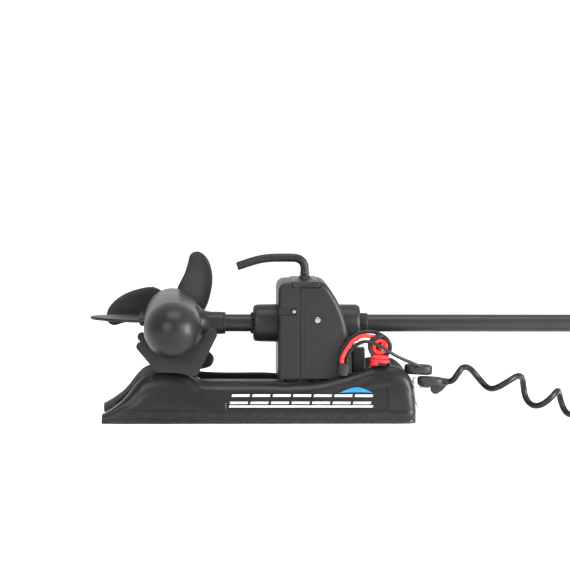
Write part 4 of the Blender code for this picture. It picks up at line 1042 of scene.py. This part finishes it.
low = head_shell("head_lower", [(HX, 62, 118, 184, 24), (HX + 1.2, 65.5, 115, 187, 25.5), (HX + 3.4, 70, 111.6, 190.4, 27), (HX + 8, 76, 107.4, 194.6, 29), (HX + 14, 81.4, 104, 198, 30.6), (HX + 24, 86.6, 100, 202, 31.6), (HX + 39, 90, 97.2, 204.8, 32),
                                (HX + 39.8, 89.6, 97.6, 204.4, 32)],
                 [(HX + 5, 62, 118, 184, 24), (HX + 16, 78, 108, 194, 28), (HX + 50, 86.0, 101.0, 201.0, 30)], M["moulded"])
boolean(low, tool(cyl_ob("cut_hb", (0, SHAFT_Z), "X", HX - 5, HX + 20, 14.3)))
boolean(low, tool(cyl_ob("cut_hs", (-60, SHAFT_Z - 8), "X", HX - 20, HX + 30, 7.3)))
low = finish_mesh(low, M["moulded"], 38)
ride(low, "housing", "moulded_black", "head_lower_shell")
upp = head_shell("head_upper", [(HX + 40.3, 89.6, 97.6, 204.4, 32), (HX + 41.2, 90, 97.2, 204.8, 32), (HX + 54, 89.4, 98, 204, 31.6), (HX + 64, 87, 100.2, 201.8, 30.6), (HX + 71, 83.4, 103.2, 198.8, 29), (HX + 76, 79, 107, 195, 27), (HX + 79, 74.6, 110.4, 191.6, 25), (HX + 80, 71.6, 113, 189, 24)],
                 [(HX + 30, 86.0, 101.0, 201.0, 30), (HX + 62, 83.6, 103.4, 198.6, 28), (HX + 75, 74, 110, 192, 24)], M["moulded"])
boolean(upp, tool(cyl_ob("cut_bh", (35, SHAFT_Z), "X", HX + 60, HX + 90, 9.0)))
boolean(upp, tool(box_ob("cut_panel", (HX + 79.2, -62, 131), (HX + 90, 14, 171), 1.0, 3)))
upp = finish_mesh(upp, M["moulded"], 38)
ride(upp, "housing", "moulded_black", "head_upper_shell")
pan = box_ob("head_window", (HX + 78.4, -61, 132), (HX + 79.9, 13, 170), 0.6, 3)
pan = finish_mesh(pan, M["coil_pvc"], 40)
ride(pan, "housing", "moulded_black")
for i in range(4):
    led = lathe("head_light_%d" % i, (-52 + i * 18, 151), "X", [(HX + 79.6, 0), (HX + 79.6, 2.2), (HX + 80.2, 2.0), (HX + 80.5, 0)], M["acetal"], 24)
    ride(led, "housing", "moulded_black")
btn = lathe("head_button", (35, SHAFT_Z), "X", [(HX + 69, 0), (HX + 69, 8.6), (HX + 81.4, 8.6), (HX + 82.4, 8.1), (HX + 82.8, 7.2), (HX + 82.5, 4.5), (HX + 82.3, 0)], M["button"], 64)
ride(btn, "power_button", "button_red", "power_button")
kn_pts = []
knob = lathe("thumb_knob", (168.7, SHAFT_Z), "Y", [(16.6, 0), (16.6, 2.4), (19.5, 2.4), (19.5, 5.0), (20.2, 5.5), (28, 5.7), (29.2, 5.0), (29.5, 4.2), (29.5, 0)], M["soft"], 48)
ride(knob, "collar_knob", "moulded_black", "collar_knob")

# ================================================================ CAD nodes kept: better materials
KEEP = {"base_extrusion": "extrusion", "arm_bracket": "arm", "inner_arm_pin": "steel", "rear_bracket": "alu", "outer_arm_near": "arm", "outer_arm_far": "arm", "inner_arm": "arm",
        "mount_frame": "arm", "link_pin": "steel", "bush_left": "acetal", "bush_right": "acetal", "steering_gear": "acetal", "steering_pinion": "brass", "steering_motor": "steel",
        "control_board": "board", "magnet_ring": "magnet", "front_bearing": "steel", "armature": "winding", "motor_shaft": "steel", "drive_pin": "steel", "prop_nut": "brass",
        "latch_bar": "steel", "head_socket": "rubber"}
for nm, mk in KEEP.items():
    ob = NODES[nm]
    ob.data.materials.clear()
    ob.data.materials.append(M[mk])

for ob in TOOLS:
    if ob.name in bpy.data.objects:
        bpy.data.objects.remove(ob, do_unlink=True)

# ================================================================ floor and light
fl = mesh_ob("studio_floor", [(-9000, -7000, 0), (11000, -7000, 0), (11000, 9000, 0), (-9000, 9000, 0)], [(0, 1, 2, 3)])
m, nt, p = new_mat("floor_white")
v = tex_coord(nt)
nt.links.new(ramp(nt, noise(nt, v, 1.2, 3), [(0.3, (0.90, 0.90, 0.90)), (0.7, (0.92, 0.92, 0.92))]), p.inputs["Base Color"])
p.inputs["Roughness"].default_value = 0.95
p.inputs["Specular IOR Level"].default_value = 0.0
p.inputs["Emission Color"].default_value = (1, 1, 1, 1)
p.inputs["Emission Strength"].default_value = 0.36
fl.data.materials.append(m)
world = bpy.data.worlds.new("studio")
bpy.context.scene.world = world
world.use_nodes = True
wt = world.node_tree
bg = wt.nodes["Background"]
wc = wt.nodes.new("ShaderNodeTexCoord")
sx = wt.nodes.new("ShaderNodeSeparateXYZ")
wt.links.new(wc.outputs["Generated"], sx.inputs[0])
mr = wt.nodes.new("ShaderNodeMapRange")
mr.inputs["From Min"].default_value = -0.9
mr.inputs["From Max"].default_value = 0.6
mr.inputs["To Min"].default_value = 0.30
mr.inputs["To Max"].default_value = 1.05
wt.links.new(sx.outputs["Y"], mr.inputs["Value"])
wt.links.new(mr.outputs["Result"], bg.inputs["Strength"])
bg.inputs["Color"].default_value = (1, 1, 1, 1)
bpy.context.scene.view_settings.view_transform = "Standard"


def area(name, loc, target, size, power, sy=None):
    l = bpy.data.lights.new(name, "AREA")
    l.shape = "RECTANGLE"
    l.size = size
    l.size_y = sy or size
    l.energy = power
    ob = bpy.data.objects.new(name, l)
    bpy.context.scene.collection.objects.link(ob)
    ob.location = loc
    ob.rotation_euler = (Vector(target) - Vector(loc)).to_track_quat("-Z", "Y").to_euler()
    return ob


lights = [area("key_top", (0.1, -0.5, 2.4), (0.05, 0, 0.1), 1.8, 34, 1.2), area("front_left", (-1.2, -2.4, 1.2), (0, 0, 0.1), 1.8, 46, 1.6),
          area("front_right", (1.7, -2.2, 0.9), (0.1, 0, 0.1), 1.4, 26, 1.4)]
side = area("right_side", (1.25, -0.62, 0.40), (0.24, -0.08, 0.04), 0.7, 34, 0.8)
for ob in lights:
    ob.visible_camera = False
side.visible_camera = False

bpy.context.view_layer.update()
